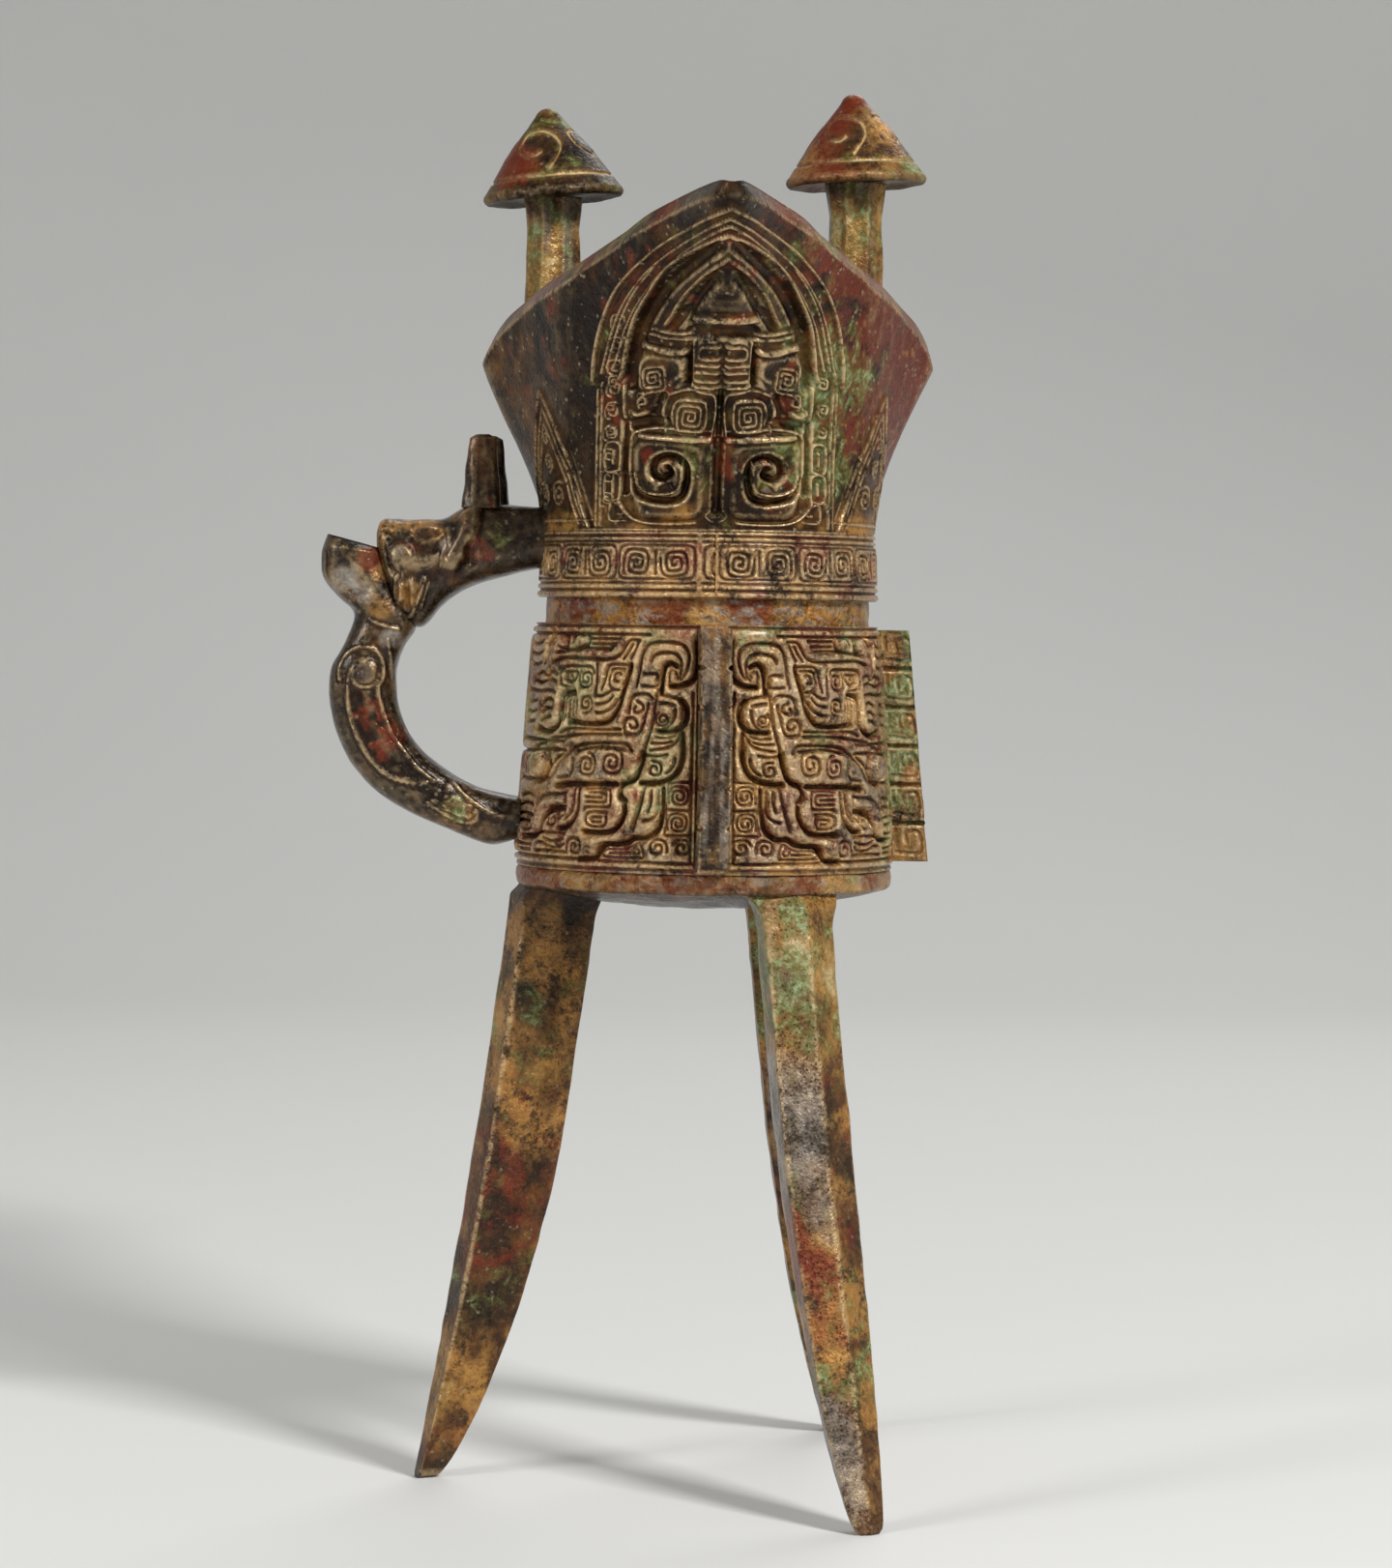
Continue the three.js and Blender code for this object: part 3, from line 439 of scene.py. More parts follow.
# Bare bronze from dark to light, and the dark and the light colour of each kind of patina. The grey one also
# serves as painted sheen and reflection, the crest one as painted highlight and the hollow one as painted
# shade.
BROWNS = [
    (0.0, (0.012, 0.006, 0.003)), (0.25, (0.050, 0.022, 0.007)), (0.45, (0.125, 0.053, 0.014)),
    (0.62, (0.24, 0.120, 0.028)), (0.8, (0.40, 0.235, 0.068)), (1.0, (0.64, 0.47, 0.23)),
]
TINTS = {
    "red": ((0.040, 0.008, 0.003), (0.29, 0.040, 0.013)),
    "ochre": ((0.30, 0.105, 0.014), (0.68, 0.37, 0.10)),
    "grey": ((0.105, 0.088, 0.070), (0.43, 0.39, 0.33)),
    "green": ((0.125, 0.118, 0.018), (0.27, 0.40, 0.19)),
    "hollow": ((0.012, 0.006, 0.003), (0.15, 0.060, 0.014)),
    "crest": ((0.42, 0.22, 0.075), (0.88, 0.69, 0.41)),
    "fleck": ((0.13, 0.11, 0.05), (0.62, 0.52, 0.36)),
}
PIT_COLOUR = (0.030, 0.015, 0.006)


def patina_group():
    """Old bronze: brown to ochre by broad and fine noise, red and green bloom, grey patches, pale ridges,
    dark hollows. The grey patches, pale ridges and dark hollows also carry painted sheen, highlights and
    shade where pieces give them.
    """
    tree = bpy.data.node_groups.new("old_bronze", "ShaderNodeTree")
    for name, value in PATINA_INPUTS.items():
        socket = tree.interface.new_socket(name, in_out="INPUT", socket_type="NodeSocketFloat")
        socket.default_value = value
    kinds = {"Color": "Color", "Roughness": "Float", "Metallic": "Float", "Height": "Float"}
    for name, kind in kinds.items():
        tree.interface.new_socket(name, in_out="OUTPUT", socket_type="NodeSocket" + kind)
    n = Nodes(tree)

    def tinted(colour, amount, kind, lightness):
        """The colour covered by an amount of one kind of patina, between its dark and its light."""
        return n.blend(amount, colour, n.blend(lightness, *TINTS[kind]))

    given = n.add("NodeGroupInput").outputs
    place = n.add("ShaderNodeTexCoord").outputs["Object"]
    mm = n.add("ShaderNodeVectorMath", {0: place, "Scale": 1000.0}, operation="SCALE").outputs[0]
    broad = n.noise(mm, 0.055, 4, 0.55, 0.6)
    middle = n.noise(n.shifted(mm, 31, 7, 11), 0.22, 7, 0.62, 0.5)
    fine = n.noise(n.shifted(mm, 5, 43, 19), 1.0, 7, 0.68)
    grit = n.noise(mm, 4.2, 4, 0.65)
    tone = n.plus(given["Tone"], n.spread(broad, 1.8), n.spread(middle, 0.95), n.spread(fine, 0.65))
    colour = n.ramp(tone, BROWNS)
    red = n.noise(n.shifted(mm, 71, 13, 57), 0.12, 8, 0.7, 0.8)
    red = n.step(n.plus(red, n.spread(given["Red"], 0.5)), 0.47, 0.66)
    colour = tinted(colour, n.times(red, 0.85), "red", fine)
    ochre = n.times(given["Ochre"], n.step(n.plus(middle, n.spread(fine, 0.8)), 0.3, 0.6))
    colour = tinted(colour, ochre, "ochre", fine)
    # Grey: a grey patina, and on several pieces a painted sheen or reflection of the lamps
    grey = n.step(n.plus(middle, n.spread(fine, 0.5)), 0.25, 0.5)
    grey = n.times(given["Grey"], grey, clamp=True)
    colour = tinted(colour, grey, "grey", n.step(n.plus(middle, n.spread(fine, 0.6)), 0.3, 0.75))
    green = n.noise(n.shifted(mm, 3, 91, 23), 0.3, 8, 0.68, 0.5)
    green = n.plus(green, n.spread(given["Green"], 0.45), n.times(given["Hollow"], 0.05))
    green = n.step(green, 0.47, 0.68)
    pale = n.times(n.step(green, 0.4, 1.0), n.step(fine, 0.42, 0.66))
    colour = tinted(colour, n.times(green, 0.8), "green", pale)
    # Dark hollows: dirt in the relief, and painted shade where pieces mark undersides as hollow
    hollow = n.times(given["Hollow"], given["Grime"], clamp=True)
    colour = tinted(colour, hollow, "hollow", n.step(middle, 0.35, 0.7))
    # Pale ridge colour: wear on the relief, and a painted highlight on the edges where pieces give it
    rubbed_and_highlit = n.times(given["Crest"], given["Worn"])
    rubbed_and_highlit = n.times(rubbed_and_highlit, n.step(n.plus(middle, n.spread(fine, 1.0)), 0.25, 0.6), clamp=True)
    colour = tinted(colour, rubbed_and_highlit, "crest", fine)
    fleck = n.step(n.plus(n.scattered(mm, 0.8), n.spread(grit, 0.5)), 0.3, 0.14)
    chosen = n.step(n.noise(mm, 0.4, 3), 0.5, 0.6)
    fleck = n.times(n.times(fleck, chosen), given["Fleck"])
    colour = tinted(colour, fleck, "fleck", grit)
    pit = n.step(n.plus(n.scattered(n.shifted(mm, 9, 2, 4), 1.5), n.spread(grit, 0.6)), 0.34, 0.12)
    pit = n.times(n.times(pit, n.step(middle, 0.62, 0.46)), given["Pitted"])
    colour = n.blend(n.times(pit, 0.75), colour, PIT_COLOUR)
    rough = n.plus(n.times(fine, 0.35), 0.16, n.spread(given["Gloss"], -0.4))
    rough = n.plus(rough, n.times(hollow, 0.2), n.times(green, 0.16))
    rough = n.minus(rough, n.times(n.plus(rubbed_and_highlit, grey), 0.08))
    rough = n.math("MAXIMUM", n.math("MINIMUM", rough, 0.9), 0.2)
    metal = n.plus(n.times(rubbed_and_highlit, 0.35), 0.34)
    metal = n.times(metal, n.minus(1.0, n.times(green, 0.9)), clamp=True)
    lumps = n.noise(n.shifted(mm, 17, 29, 3), 1.25, 3, 0.55, 0.4)
    height = n.plus(n.times(fine, 0.3), n.times(grit, 0.07), lumps, n.times(middle, 0.8))
    height = n.minus(n.plus(height, n.times(fleck, 0.25)), n.times(pit, 0.5))
    n.add("NodeGroupOutput", {"Color": colour, "Roughness": rough, "Metallic": metal, "Height": height})
    return tree


PATINA = patina_group()


def bronze(name, bump=0.32, specular=0.28, coat=0.12, **values):
    """Bronze of one piece: the shared patina with this piece's own values, its masks and a bump."""
    material = bpy.data.materials.new(name)
    material.use_nodes = True
    tree = material.node_tree
    tree.nodes.clear()
    n = Nodes(tree)
    patina = n.add("ShaderNodeGroup", node_tree=PATINA)
    for key, value in values.items():
        patina.inputs[key.capitalize()].default_value = value
    for mask in MASKS:
        read = n.add("ShaderNodeAttribute", attribute_name=mask).outputs["Fac"]
        socket = patina.inputs[mask.capitalize()]
        tree.links.new(n.plus(read, socket.default_value), socket)
    height = {"Height": patina.outputs["Height"], "Strength": 1.0, "Distance": bump / 1000}
    bumped = n.add("ShaderNodeBump", height)
    shader = n.add("ShaderNodeBsdfPrincipled", {
        "Base Color": patina.outputs["Color"], "Roughness": patina.outputs["Roughness"],
        "Metallic": patina.outputs["Metallic"], "Normal": bumped.outputs[0],
        "Specular IOR Level": specular, "Coat Weight": coat, "Coat Roughness": 0.14,
    })
    n.add("ShaderNodeOutputMaterial", {"Surface": shader.outputs[0]})
    return material


# Vessel


def rim_rows():
    """Rim of the right half, from the tail's tip round to the middle of the spout's lip.

    The outlines' shares are spread over the reach, half width and rise of tail and spout. The lip is a
    quarter of a rounded oblong, half of the spout's trough.
    """
    tail, spout = np.array(TAIL_OUTLINE), np.array(SPOUT_OUTLINE)
    lip_start = SPOUT_REACH - LIP_LENGTH
    tail_rows = [
        tail[:, 1] * MOUTH_HALF_WIDTH,
        mix(MOUTH_OFFSET, -TAIL_REACH, tail[:, 0]),
        SIDE_RIM + tail[:, 2] * TAIL_RISE,
    ]
    spout_rows = [
        mix(SPOUT_HALF_WIDTH, MOUTH_HALF_WIDTH, spout[:, 1]),
        mix(MOUTH_OFFSET, lip_start, spout[:, 0]),
        SIDE_RIM + spout[:, 2] * SPOUT_RISE,
    ]
    turn = np.radians(np.linspace(4, 90, 7))
    across, down = np.clip(np.cos(turn), 0, 1) ** 0.8, np.sin(turn) ** 0.8
    across[-1] = 0
    lip_rows = [
        SPOUT_HALF_WIDTH * across,
        lip_start + LIP_LENGTH * down,
        SIDE_RIM + SPOUT_RISE - SPOUT_DEPTH * down,
    ]
    return np.concatenate([np.stack(rows, -1) for rows in (tail_rows, spout_rows, lip_rows)])


RIM = rim_rows()
LAST = len(RIM) - 1
# The same rows with a mirrored one beyond either end, so that the rim runs smoothly through the middle
RIM_THROUGH = np.concatenate([RIM[1:2] * [-1, 1, 1], RIM, RIM[-2:-1] * [-1, 1, 1]])


def mouth_skin(station, share):
    """Outer skin of the mouth: from the neck circle to the rim on a cubic curve in an upright plane."""
    mirrored = (station > LAST) | (station < 0)
    own = np.where(station > LAST, 2 * LAST - station, np.abs(station))
    rim = smooth_rows(RIM_THROUGH, own + 1)
    x, y, z = rim[..., 0], rim[..., 1], rim[..., 2]
    k = np.clip(np.searchsorted(FLARE[:, 0], own), 1, len(FLARE) - 1)
    low, high = FLARE[k - 1], FLARE[k]
    between = ease(own, low[..., 0], high[..., 0])[..., None]
    _, start, far, near, rise = np.moveaxis(mix(low, high, between), -1, 0)
    out = np.where(mirrored, near, far)
    turn = np.radians(smooth_rows(NECK_TURNS, own / LAST * 3)[..., 0])
    lift = z - NECK_BOTTOM
    weights = [(1 - share) ** 3, 3 * (1 - share) ** 2 * share, 3 * (1 - share) * share**2, share**3]
    spread = weights[2] * (1 - out) + weights[3]
    height = weights[0] * NECK_BOTTOM + weights[1] * (NECK_BOTTOM + start * lift)
    height = height + weights[2] * (z - rise * lift) + weights[3] * z
    neck = BAND_RADII[1]
    across = mix(neck * np.sin(turn), x, spread)
    along = mix(-neck * np.cos(turn), y, spread)
    return np.stack([np.where(mirrored, -across, across), along, height], -1)


def unit(vectors):
    """Vectors scaled to a length of 1."""
    return vectors / np.maximum(np.linalg.norm(vectors, axis=-1, keepdims=True), 1e-9)


def mouth_frame(station, share):
    """Outer skin of the mouth with its outward and upward directions, by small steps of both parameters."""
    step = 0.03
    low, high = np.clip(share - step, 0, 1), np.clip(share + step, 0, 1)
    along = mouth_skin(station + step, share) - mouth_skin(station - step, share)
    up = mouth_skin(station, high) - mouth_skin(station, low)
    return mouth_skin(station, share), unit(np.cross(along, up)), unit(up)


def mouth_piece(stations, rows, relief):
    """One stretch of the mouth: outer skin with relief, chamfered rim, inner skin and the cut below.

    The inner skin is the outer one less the wall along a normal averaged over two stations, so that it
    doesn't fold at the tail's tip. That normal is laid nearly level there, which keeps the tip blunt.
    Over the chamfer's length the outer skin falls back by most of the wall. The rim is a flat half ellipse
    between the two skins.
    """
    station, share = np.meshgrid(stations, np.linspace(0, 1, rows))
    skin, out, up = mouth_frame(station, share)
    soft = unit(sum(mouth_frame(station + shift, share)[1] for shift in (-1, -0.5, 0, 0.5, 1)))
    wall = mix(MOUTH_WALL, RIM_WALL, share)[..., None]
    soft[..., 2] *= 1 - 0.85 * ease(np.abs(station), 2.6, 0.3) * ease(share, 0.6, 0.9)
    steps = np.linalg.norm(np.diff(skin, axis=0), axis=-1)
    to_rim = np.concatenate([steps[::-1].cumsum(0)[::-1], np.zeros((1, skin.shape[1]))])
    chamfer = np.clip(1 - to_rim / CHAMFER_LENGTH, 0, 1)
    lift = relief(skin) * ease(to_rim, 2.6, 3.4)
    lift = lift + 0.07 * unevenness(skin, 2.6, 2) + 0.1 * unevenness(skin, 7, 4)
    outer = skin + out * lift[..., None] * (1 - chamfer[..., None])
    outer = outer - soft * (wall - 0.5) * (chamfer**1.15)[..., None]
    inner = skin - soft * (wall - 0.05 * unevenness(skin, 4.3, 3)[..., None])
    turn = np.linspace(0, math.pi, RIM_ROWS + 2)[1:-1, None, None]
    middle, half = (outer[-1] + inner[-1]) / 2, (outer[-1] - inner[-1]) / 2
    rim = middle + half * np.cos(turn) + up[-1] * np.sin(turn) * 0.25
    points = np.concatenate([outer, rim, inner[::-2]])
    masks = relief_masks(points, rows)
    away = ease(np.abs(skin[..., 0]), 0.5, 4)
    # The chamfer's line and the rim's top take the pale ridge colour, and the strip along the rim is marked
    # for lightening: partly wear, partly a painted highlight where the rounded rim catches the light
    chamfer_line = 0.6 * away * ease(np.abs(to_rim - CHAMFER_LENGTH), 0.4, 0.1)
    masks["crest"][:rows] = np.maximum(masks["crest"][:rows], chamfer_line)
    masks["crest"][rows:rows + RIM_ROWS] = 0.35 * away[-1]
    masks["crest"][:rows] *= ease(to_rim, 0.2, 0.8) * 0.7 + 0.3
    masks["edge"] = np.zeros(points.shape[:2])
    masks["edge"][:rows] = ease(to_rim, 2.9, 2.3)
    masks["edge"][rows:rows + RIM_ROWS] = 1
    return points, masks


def lathe(profile, columns):
    """Surface of revolution: each (radius, height) of the profile carried round the cup's axis."""
    profile = np.asarray(profile, float)
    turn = np.linspace(0, 2 * math.pi, columns, endpoint=False)
    radius, height = profile[:, :1], np.repeat(profile[:, 1:], columns, 1)
    return np.stack([radius * np.sin(turn), -radius * np.cos(turn), height], -1)


def dense(profile, step):
    """Points no further apart than a step along straight lines through the profile."""
    profile = np.asarray(profile, float)
    made = [profile[:1]]
    for a, b in zip(profile[:-1], profile[1:]):
        count = max(1, math.ceil(np.linalg.norm(b - a) / step))
        made.append(a + (b - a) * (np.arange(1, count + 1) / count)[:, None])
    return np.concatenate(made)


def belly_radius(z):
    """Radius of the belly's cone at a height."""
    return mix(*BELLY_RADII, (z - BELLY_BOTTOM) / (BELLY_TOP - BELLY_BOTTOM))


# Ornament of a quarter of the belly, from the middle of a flange to the middle of the next:
# arc in millimetres and height. It is mirrored at every flange.
BELLY_THICK = [
    [2.6, 132.8, 2.5, 129.5, 2.8, 127.6, 3.8, 126.7, 5.2, 126.2, 6.7, 126.1],
    [5.8, 129.1, 6.8, 129.6, 7.7, 129.1, 8.1, 127.6, 8.3, 125],
    [5, 124, 4.3, 123.2, 4, 121.9, 4.3, 120.5, 5.2, 119.6, 6.6, 119.2, 8.4, 119.2],
    [4.7, 119, 4.5, 117, 4.5, 115.5, 4.9, 113.9, 5.7, 112.6, 6.9, 111.8, 8.5, 111.4, 10.9, 111.3],
    [10.7, 115.9, 10.9, 114.5, 11.3, 113.2, 11.8, 112.1, 12.6, 111.4, 13.8, 111, 14.3, 110.1, 14.1, 109.1,
     13.1, 108.6],
    [13.3, 107.8, 13.2, 106.9, 13.6, 105.7, 14.1, 104.8, 14.9, 104, 16.2, 103.6, 18, 103.5, 20.3, 103.6],
    [7.5, 110.5, 7.5, 108, 7.7, 105.4, 8.1, 104.2, 8.9, 103.4, 10, 102.9, 11.6, 102.9, 12.7, 102.2, 14.2,
     101.9, 16.3, 101.8, 17.2, 101.1, 17.7, 100, 18.5, 99.5, 21, 99.4],
    [13.3, 129.2, 13.6, 128, 14.1, 126.5, 14.6, 125, 15, 123.6, 15.5, 122.3, 16.3, 121.1, 17.4, 120.4, 19.2,
     120.1, 22, 120.1, 24.8, 120.4],
    [24, 124.9, 25.8, 125, 26.9, 124.6, 27.2, 122.8, 27.2, 120.8, 27.9, 119.6, 29.4, 119, 31.2, 118.6, 34,
     119.2], [15, 111, 18, 110.9, 23.5, 110.8, 27, 110.4],
    [21.9, 110, 21.9, 107.7, 22.2, 106.2, 23, 104.9, 24.2, 104.1, 26, 103.8],
    [24.8, 107, 26.6, 107, 28.2, 106.7, 29.3, 105.9, 30.1, 104.8, 30.7, 103.6, 31.4, 102.9, 32.6, 102.5, 35,
     102.3, 38, 102.2], [31.2, 134.6, 32, 133.2, 32.5, 131.4, 32.9, 129.6],
]
BELLY_LINES = [
    [2.4, 135.1, 44, 135.1], [10.2, 133.9, 44, 133.9], [2.3, 98.6, 2.3, 135], [3.1, 99.4, 3.1, 125.2],
    [2.4, 99.2, 8.6, 99.2], [9, 99.3, 17.4, 99.3], [21, 99.4, 44, 99.4],
    [5.1, 127.2, 4.3, 128.3, 3.9, 129.6, 3.8, 130.8, 4.2, 131.8, 5.2, 132.5, 7, 132.8, 9.3, 132.7, 10.6,
     132.2, 11.3, 131, 11.6, 129.2, 11.9, 127.2, 12.2, 125.9],
    [5.3, 127.4, 5.1, 128.6, 5.1, 130, 5.8, 130.9, 7.2, 131.2, 8.8, 131, 9.7, 130.4, 9.9, 129.8],
    [5.6, 127.2, 5.9, 128.2, 6.6, 128.5, 7, 127.8, 6.9, 126.7],
    [11, 127.9, 9.2, 127.9, 8.8, 127.2, 8.9, 126.1, 10, 126, 11.3, 126.1],
    [9.5, 124.1, 10.2, 124.8, 12, 124.8, 12.9, 124.2, 13.2, 123, 13.3, 121.9],
    [11.9, 123.7, 11.1, 123.3, 11, 122.4, 11.9, 122, 12.5, 122.3, 12.2, 122.9],
    [10.1, 123.4, 10.5, 121.6, 10.9, 119.8, 11.6, 118.8, 12.9, 118.7, 13.8, 119, 14, 120, 13.6, 121, 12.6,
     121.2, 11.9, 120.6, 11.9, 119.8, 12.6, 119.6, 13, 120.1], [5, 124.1, 6.5, 124.5, 8.5, 124.8],
    [5.9, 123.2, 7.2, 123.5, 8.4, 123.6], [5.8, 122.6, 5.9, 121.4, 6.5, 120.3, 7.4, 119.6],
    [8.9, 124.8, 9.1, 122.6, 9.3, 120.6, 9.8, 118.6, 10.3, 116.9, 10.6, 115.4],
    [4.8, 119.8, 5.2, 118.4, 5.9, 117.3, 7.2, 116.7, 9.6, 116.3], [5.7, 118.7, 7.2, 118.2, 8.8, 118.3],
    [6.2, 117.7, 7.6, 117.4, 9.4, 117.4], [6.9, 115.7, 8.6, 115.4, 10.3, 115.6],
    [5.6, 115.2, 5.8, 114.2, 6.4, 113.3, 7.1, 112.8],
    [10.3, 110.6, 10.6, 108.6, 11, 107, 11.5, 105.4, 11.8, 104],
    [6.8, 111.2, 6.8, 109.8, 7, 107.6, 6.9, 105, 7.1, 103.6], [3.2, 107.2, 6.8, 107.4],
    [3.3, 103.5, 6.8, 103.4], [3.2, 111.6, 6.7, 111.4],
    [10, 100.2, 10.3, 101.5, 11, 102.2, 12, 101.6, 13.5, 101.2, 16.2, 101.1, 16.8, 100.4, 15.6, 99.9, 10.2,
     99.9], [12.2, 100.6, 15.6, 100.5], [8.2, 110.4, 8.2, 107, 9, 105.9, 10.2, 105.5],
    [9.2, 110.3, 9.2, 108.4, 9.6, 107], [7.4, 111, 10.3, 110.9],
    [20.4, 110.2, 16.7, 110.3, 15.8, 109.7, 15.7, 108.2, 16.2, 107.5, 19.9, 107.4, 20.5, 106.9],
    [19.8, 109.6, 17, 109.6, 16.6, 108.9, 17, 108.2, 20, 108.2], [17.4, 108.9, 20.2, 108.9],
    [16.2, 106.7, 19, 106.7, 20, 106.2, 20, 105, 19, 104.5, 17, 104.5, 16.3, 105.2, 16.3, 106.1],
    [17.2, 105.9, 19.1, 105.8, 19, 105.2, 17.3, 105.2],
    [12.4, 116.1, 13.3, 117.1, 15, 117.3, 21, 117, 23.2, 116.2, 24.4, 115.4],
    [13.6, 116.3, 18.5, 116.6, 22.4, 115.9], [14.6, 119.4, 19, 119.3, 24, 119.4, 27, 118.6],
    [14.4, 118.6, 21, 118.5, 26, 118, 30, 117.6], [15.6, 123.9, 16.4, 122.7, 17.5, 122, 19, 121.8],
    [16.2, 124.5, 17.3, 123.5, 19.2, 123.1], [16.6, 125.3, 18, 124.5, 19.4, 124.4],
    [13.6, 129.2, 15.2, 129.3, 17, 129.2, 17.6, 128.3, 17.9, 126.9, 18.3, 125.4],
    [14.4, 128.6, 16.4, 128.6, 17, 127.8, 17.1, 126.4, 16.3, 125.5, 15.3, 125.4],
    [15, 127.8, 15.7, 128, 16.3, 127.5, 16.1, 126.8, 15.4, 126.7], [19.5, 129.4, 19.3, 127, 19.5, 124.7],
    [20.1, 128, 20.6, 128.8, 22.2, 128.9, 26.6, 128.8, 27.4, 128], [27.4, 127, 27.2, 125.9, 24.2, 125.5],
    [23.6, 127.9, 24, 126.9, 25.2, 126.5, 26.4, 126.8], [23.8, 128.1, 26.6, 128],
    [23.5, 124.2, 23.3, 122.2, 23.6, 120.8], [24.2, 123.9, 24.2, 120.9], [25, 123.9, 25, 120.9],
    [23.6, 124.5, 25.2, 124.5, 25.9, 123.8, 26, 122, 26.1, 120.6],
    [11.9, 133, 13.6, 133, 14.4, 132.1, 15.2, 130.9, 16.4, 130.2, 18, 130, 22, 130.1, 27, 130.2, 30, 129.4],
    [12.2, 132.7, 12.7, 131.4, 13.4, 130.1], [13.2, 132.4, 13.9, 131.2, 14.7, 130.1],
    [15.6, 133.2, 21.2, 133.2], [16.2, 132.4, 21, 132.4], [16.9, 131.6, 21.4, 131.7, 24, 131.4],
    [21.8, 134, 21.5, 132.8, 22.2, 131.8, 24.6, 131.4, 29, 131], [22.6, 133.6, 24.4, 133.8, 24.9, 132.6],
    [26, 133.3, 27.2, 133.9, 28.6, 133.4, 28.9, 132.2, 27.8, 131.5, 26.4, 131.8, 26, 132.6],
    [25.2, 117.3, 31, 117.3, 41, 117.6], [25, 115.9, 30, 116, 36, 115.6, 44, 115.6],
    [24.6, 115.3, 26.4, 114.1, 28, 112, 29.6, 111.3], [25.9, 115.4, 27.6, 114.3, 29.3, 112.6],
    [24.4, 112, 26.6, 111.7], [23.3, 114.7, 23.2, 113, 23.9, 112],
    [22.8, 110.2, 22.9, 107.6, 23.4, 106.2, 24.4, 105.3], [24.4, 109, 24.3, 107.2, 25, 105.9, 26, 105.2],
    [24.2, 109.4, 26, 109.2, 29, 109, 31, 108.3, 32.2, 107, 32.7, 105.4, 33.3, 104.1, 34.6, 103.4, 38, 103.2],
    [24, 103.1, 27, 103.2, 30.6, 103.1], [24.4, 102.4, 27, 101.9, 29.8, 102.3],
    [24.2, 101.6, 25.6, 101, 27.6, 100.9, 30, 101.6, 31.6, 101.4], [24, 100.3, 28, 100.4, 32, 100.2],
    [33, 108.6, 36, 108.9, 40.6, 108.1], [33.2, 107.2, 36, 107.5, 40.8, 106.9],
    [33.4, 105.6, 37, 105.9, 41, 105.5], [34.2, 104.6, 38, 104.7, 41, 104.3],
    [32.8, 101.2, 36, 101, 41, 101.2], [33, 100.3, 41, 100.2],
    [28.4, 127.6, 30.4, 128, 32, 127.2, 33.6, 127.9, 36, 127.4],
    [28.6, 126.4, 31, 126.8, 34, 126.2, 37, 126.7], [28.6, 124.8, 31, 125.1, 34.6, 124.9, 41, 125.2],
    [29, 123.4, 30.6, 123.8, 32.2, 123.2], [29.2, 122.2, 31, 122.3, 32.4, 121.7],
    [29.4, 121, 31.2, 120.9, 33, 120.2], [34, 132.8, 37, 132.2, 41, 132.6], [34, 131.2, 37, 130.6, 41, 131],
    [34.2, 129.4, 37, 129, 41, 129.3], [34.6, 123.6, 38, 123.2, 41, 123.5], [34.4, 122, 38, 121.6, 41, 121.9],
    [35, 120.4, 38, 120.1, 41, 120.3], [41.2, 99.4, 41.2, 135],
    [29.6, 112, 31, 111.4, 33.6, 111.3, 37, 111.2, 41, 111.4],
    [36.4, 115, 38, 114.4, 38.4, 113.2, 37.6, 112.2], [39.4, 114.9, 40, 113.6, 39.4, 112.2],
]
# Squared spirals: arc, height, radius, turns, start and way round
BELLY_SPIRALS = [
    (7.8, 121, 1.15, 1.6, 200, 1), (8.8, 113.4, 1.25, 1.3, 180, -1), (4.9, 109.4, 1.75, 2.2, 40, -1),
    (5, 105.3, 1.7, 2.2, 40, -1), (4.3, 101.6, 1.4, 1.5, 200, -1), (8, 101.5, 1.5, 1.5, 20, 1),
    (11.2, 100.9, 0.7, 1, 90, 1), (15.9, 114.3, 2.2, 2, 60, -1), (20.5, 113.8, 1.9, 1.9, 60, -1),
    (21.6, 127, 1.6, 1.8, 120, 1), (21.4, 123.2, 1.45, 1.6, 60, 1), (25.3, 127, 1, 1.2, 0, 1),
    (27.3, 105.2, 1.5, 1.4, 30, 1), (21.9, 101.2, 1.7, 1.5, 150, -1), (25.6, 101.7, 0.7, 1, 0, 1),
    (30.6, 133, 0.9, 1.2, 0, 1),
]
# Low raised ribbons: line, width and height
BELLY_RIBBONS = [
    ([12.7, 110.2, 12.3, 107.6, 12.5, 105.6, 13.3, 104, 14.8, 102.9, 17, 102.7, 19.4, 101.6], 1.7, 0.35),
    ([13, 117.9, 20, 117.9, 30, 116.7, 41, 116.6], 0.9, 0.25), ([7, 110, 7.2, 108, 7.2, 104.6], 0.2, 0.1),
    ([12.4, 129.6, 13, 127, 13.8, 124.4, 14.3, 121.6, 15.6, 119.9, 18, 119.7, 24, 119.8], 0.5, 0.22),
    ([11.5, 126, 11.2, 122, 10.4, 118, 11.4, 114.4, 12.4, 111.6], 0.5, 0.2),
    ([23.4, 109, 23.4, 107, 23.9, 105.6, 25.2, 104.7], 0.7, 0.3),
    ([25, 108.1, 28.6, 107.9, 30.8, 106.9, 31.7, 105, 32.6, 103.3, 34.8, 102.9, 38, 102.7], 0.7, 0.3),
    ([16.2, 131, 20, 130.9, 26, 130.8, 30.4, 130.2], 0.7, 0.25),
]
BELLY_EYE = (32.0, 113.9)


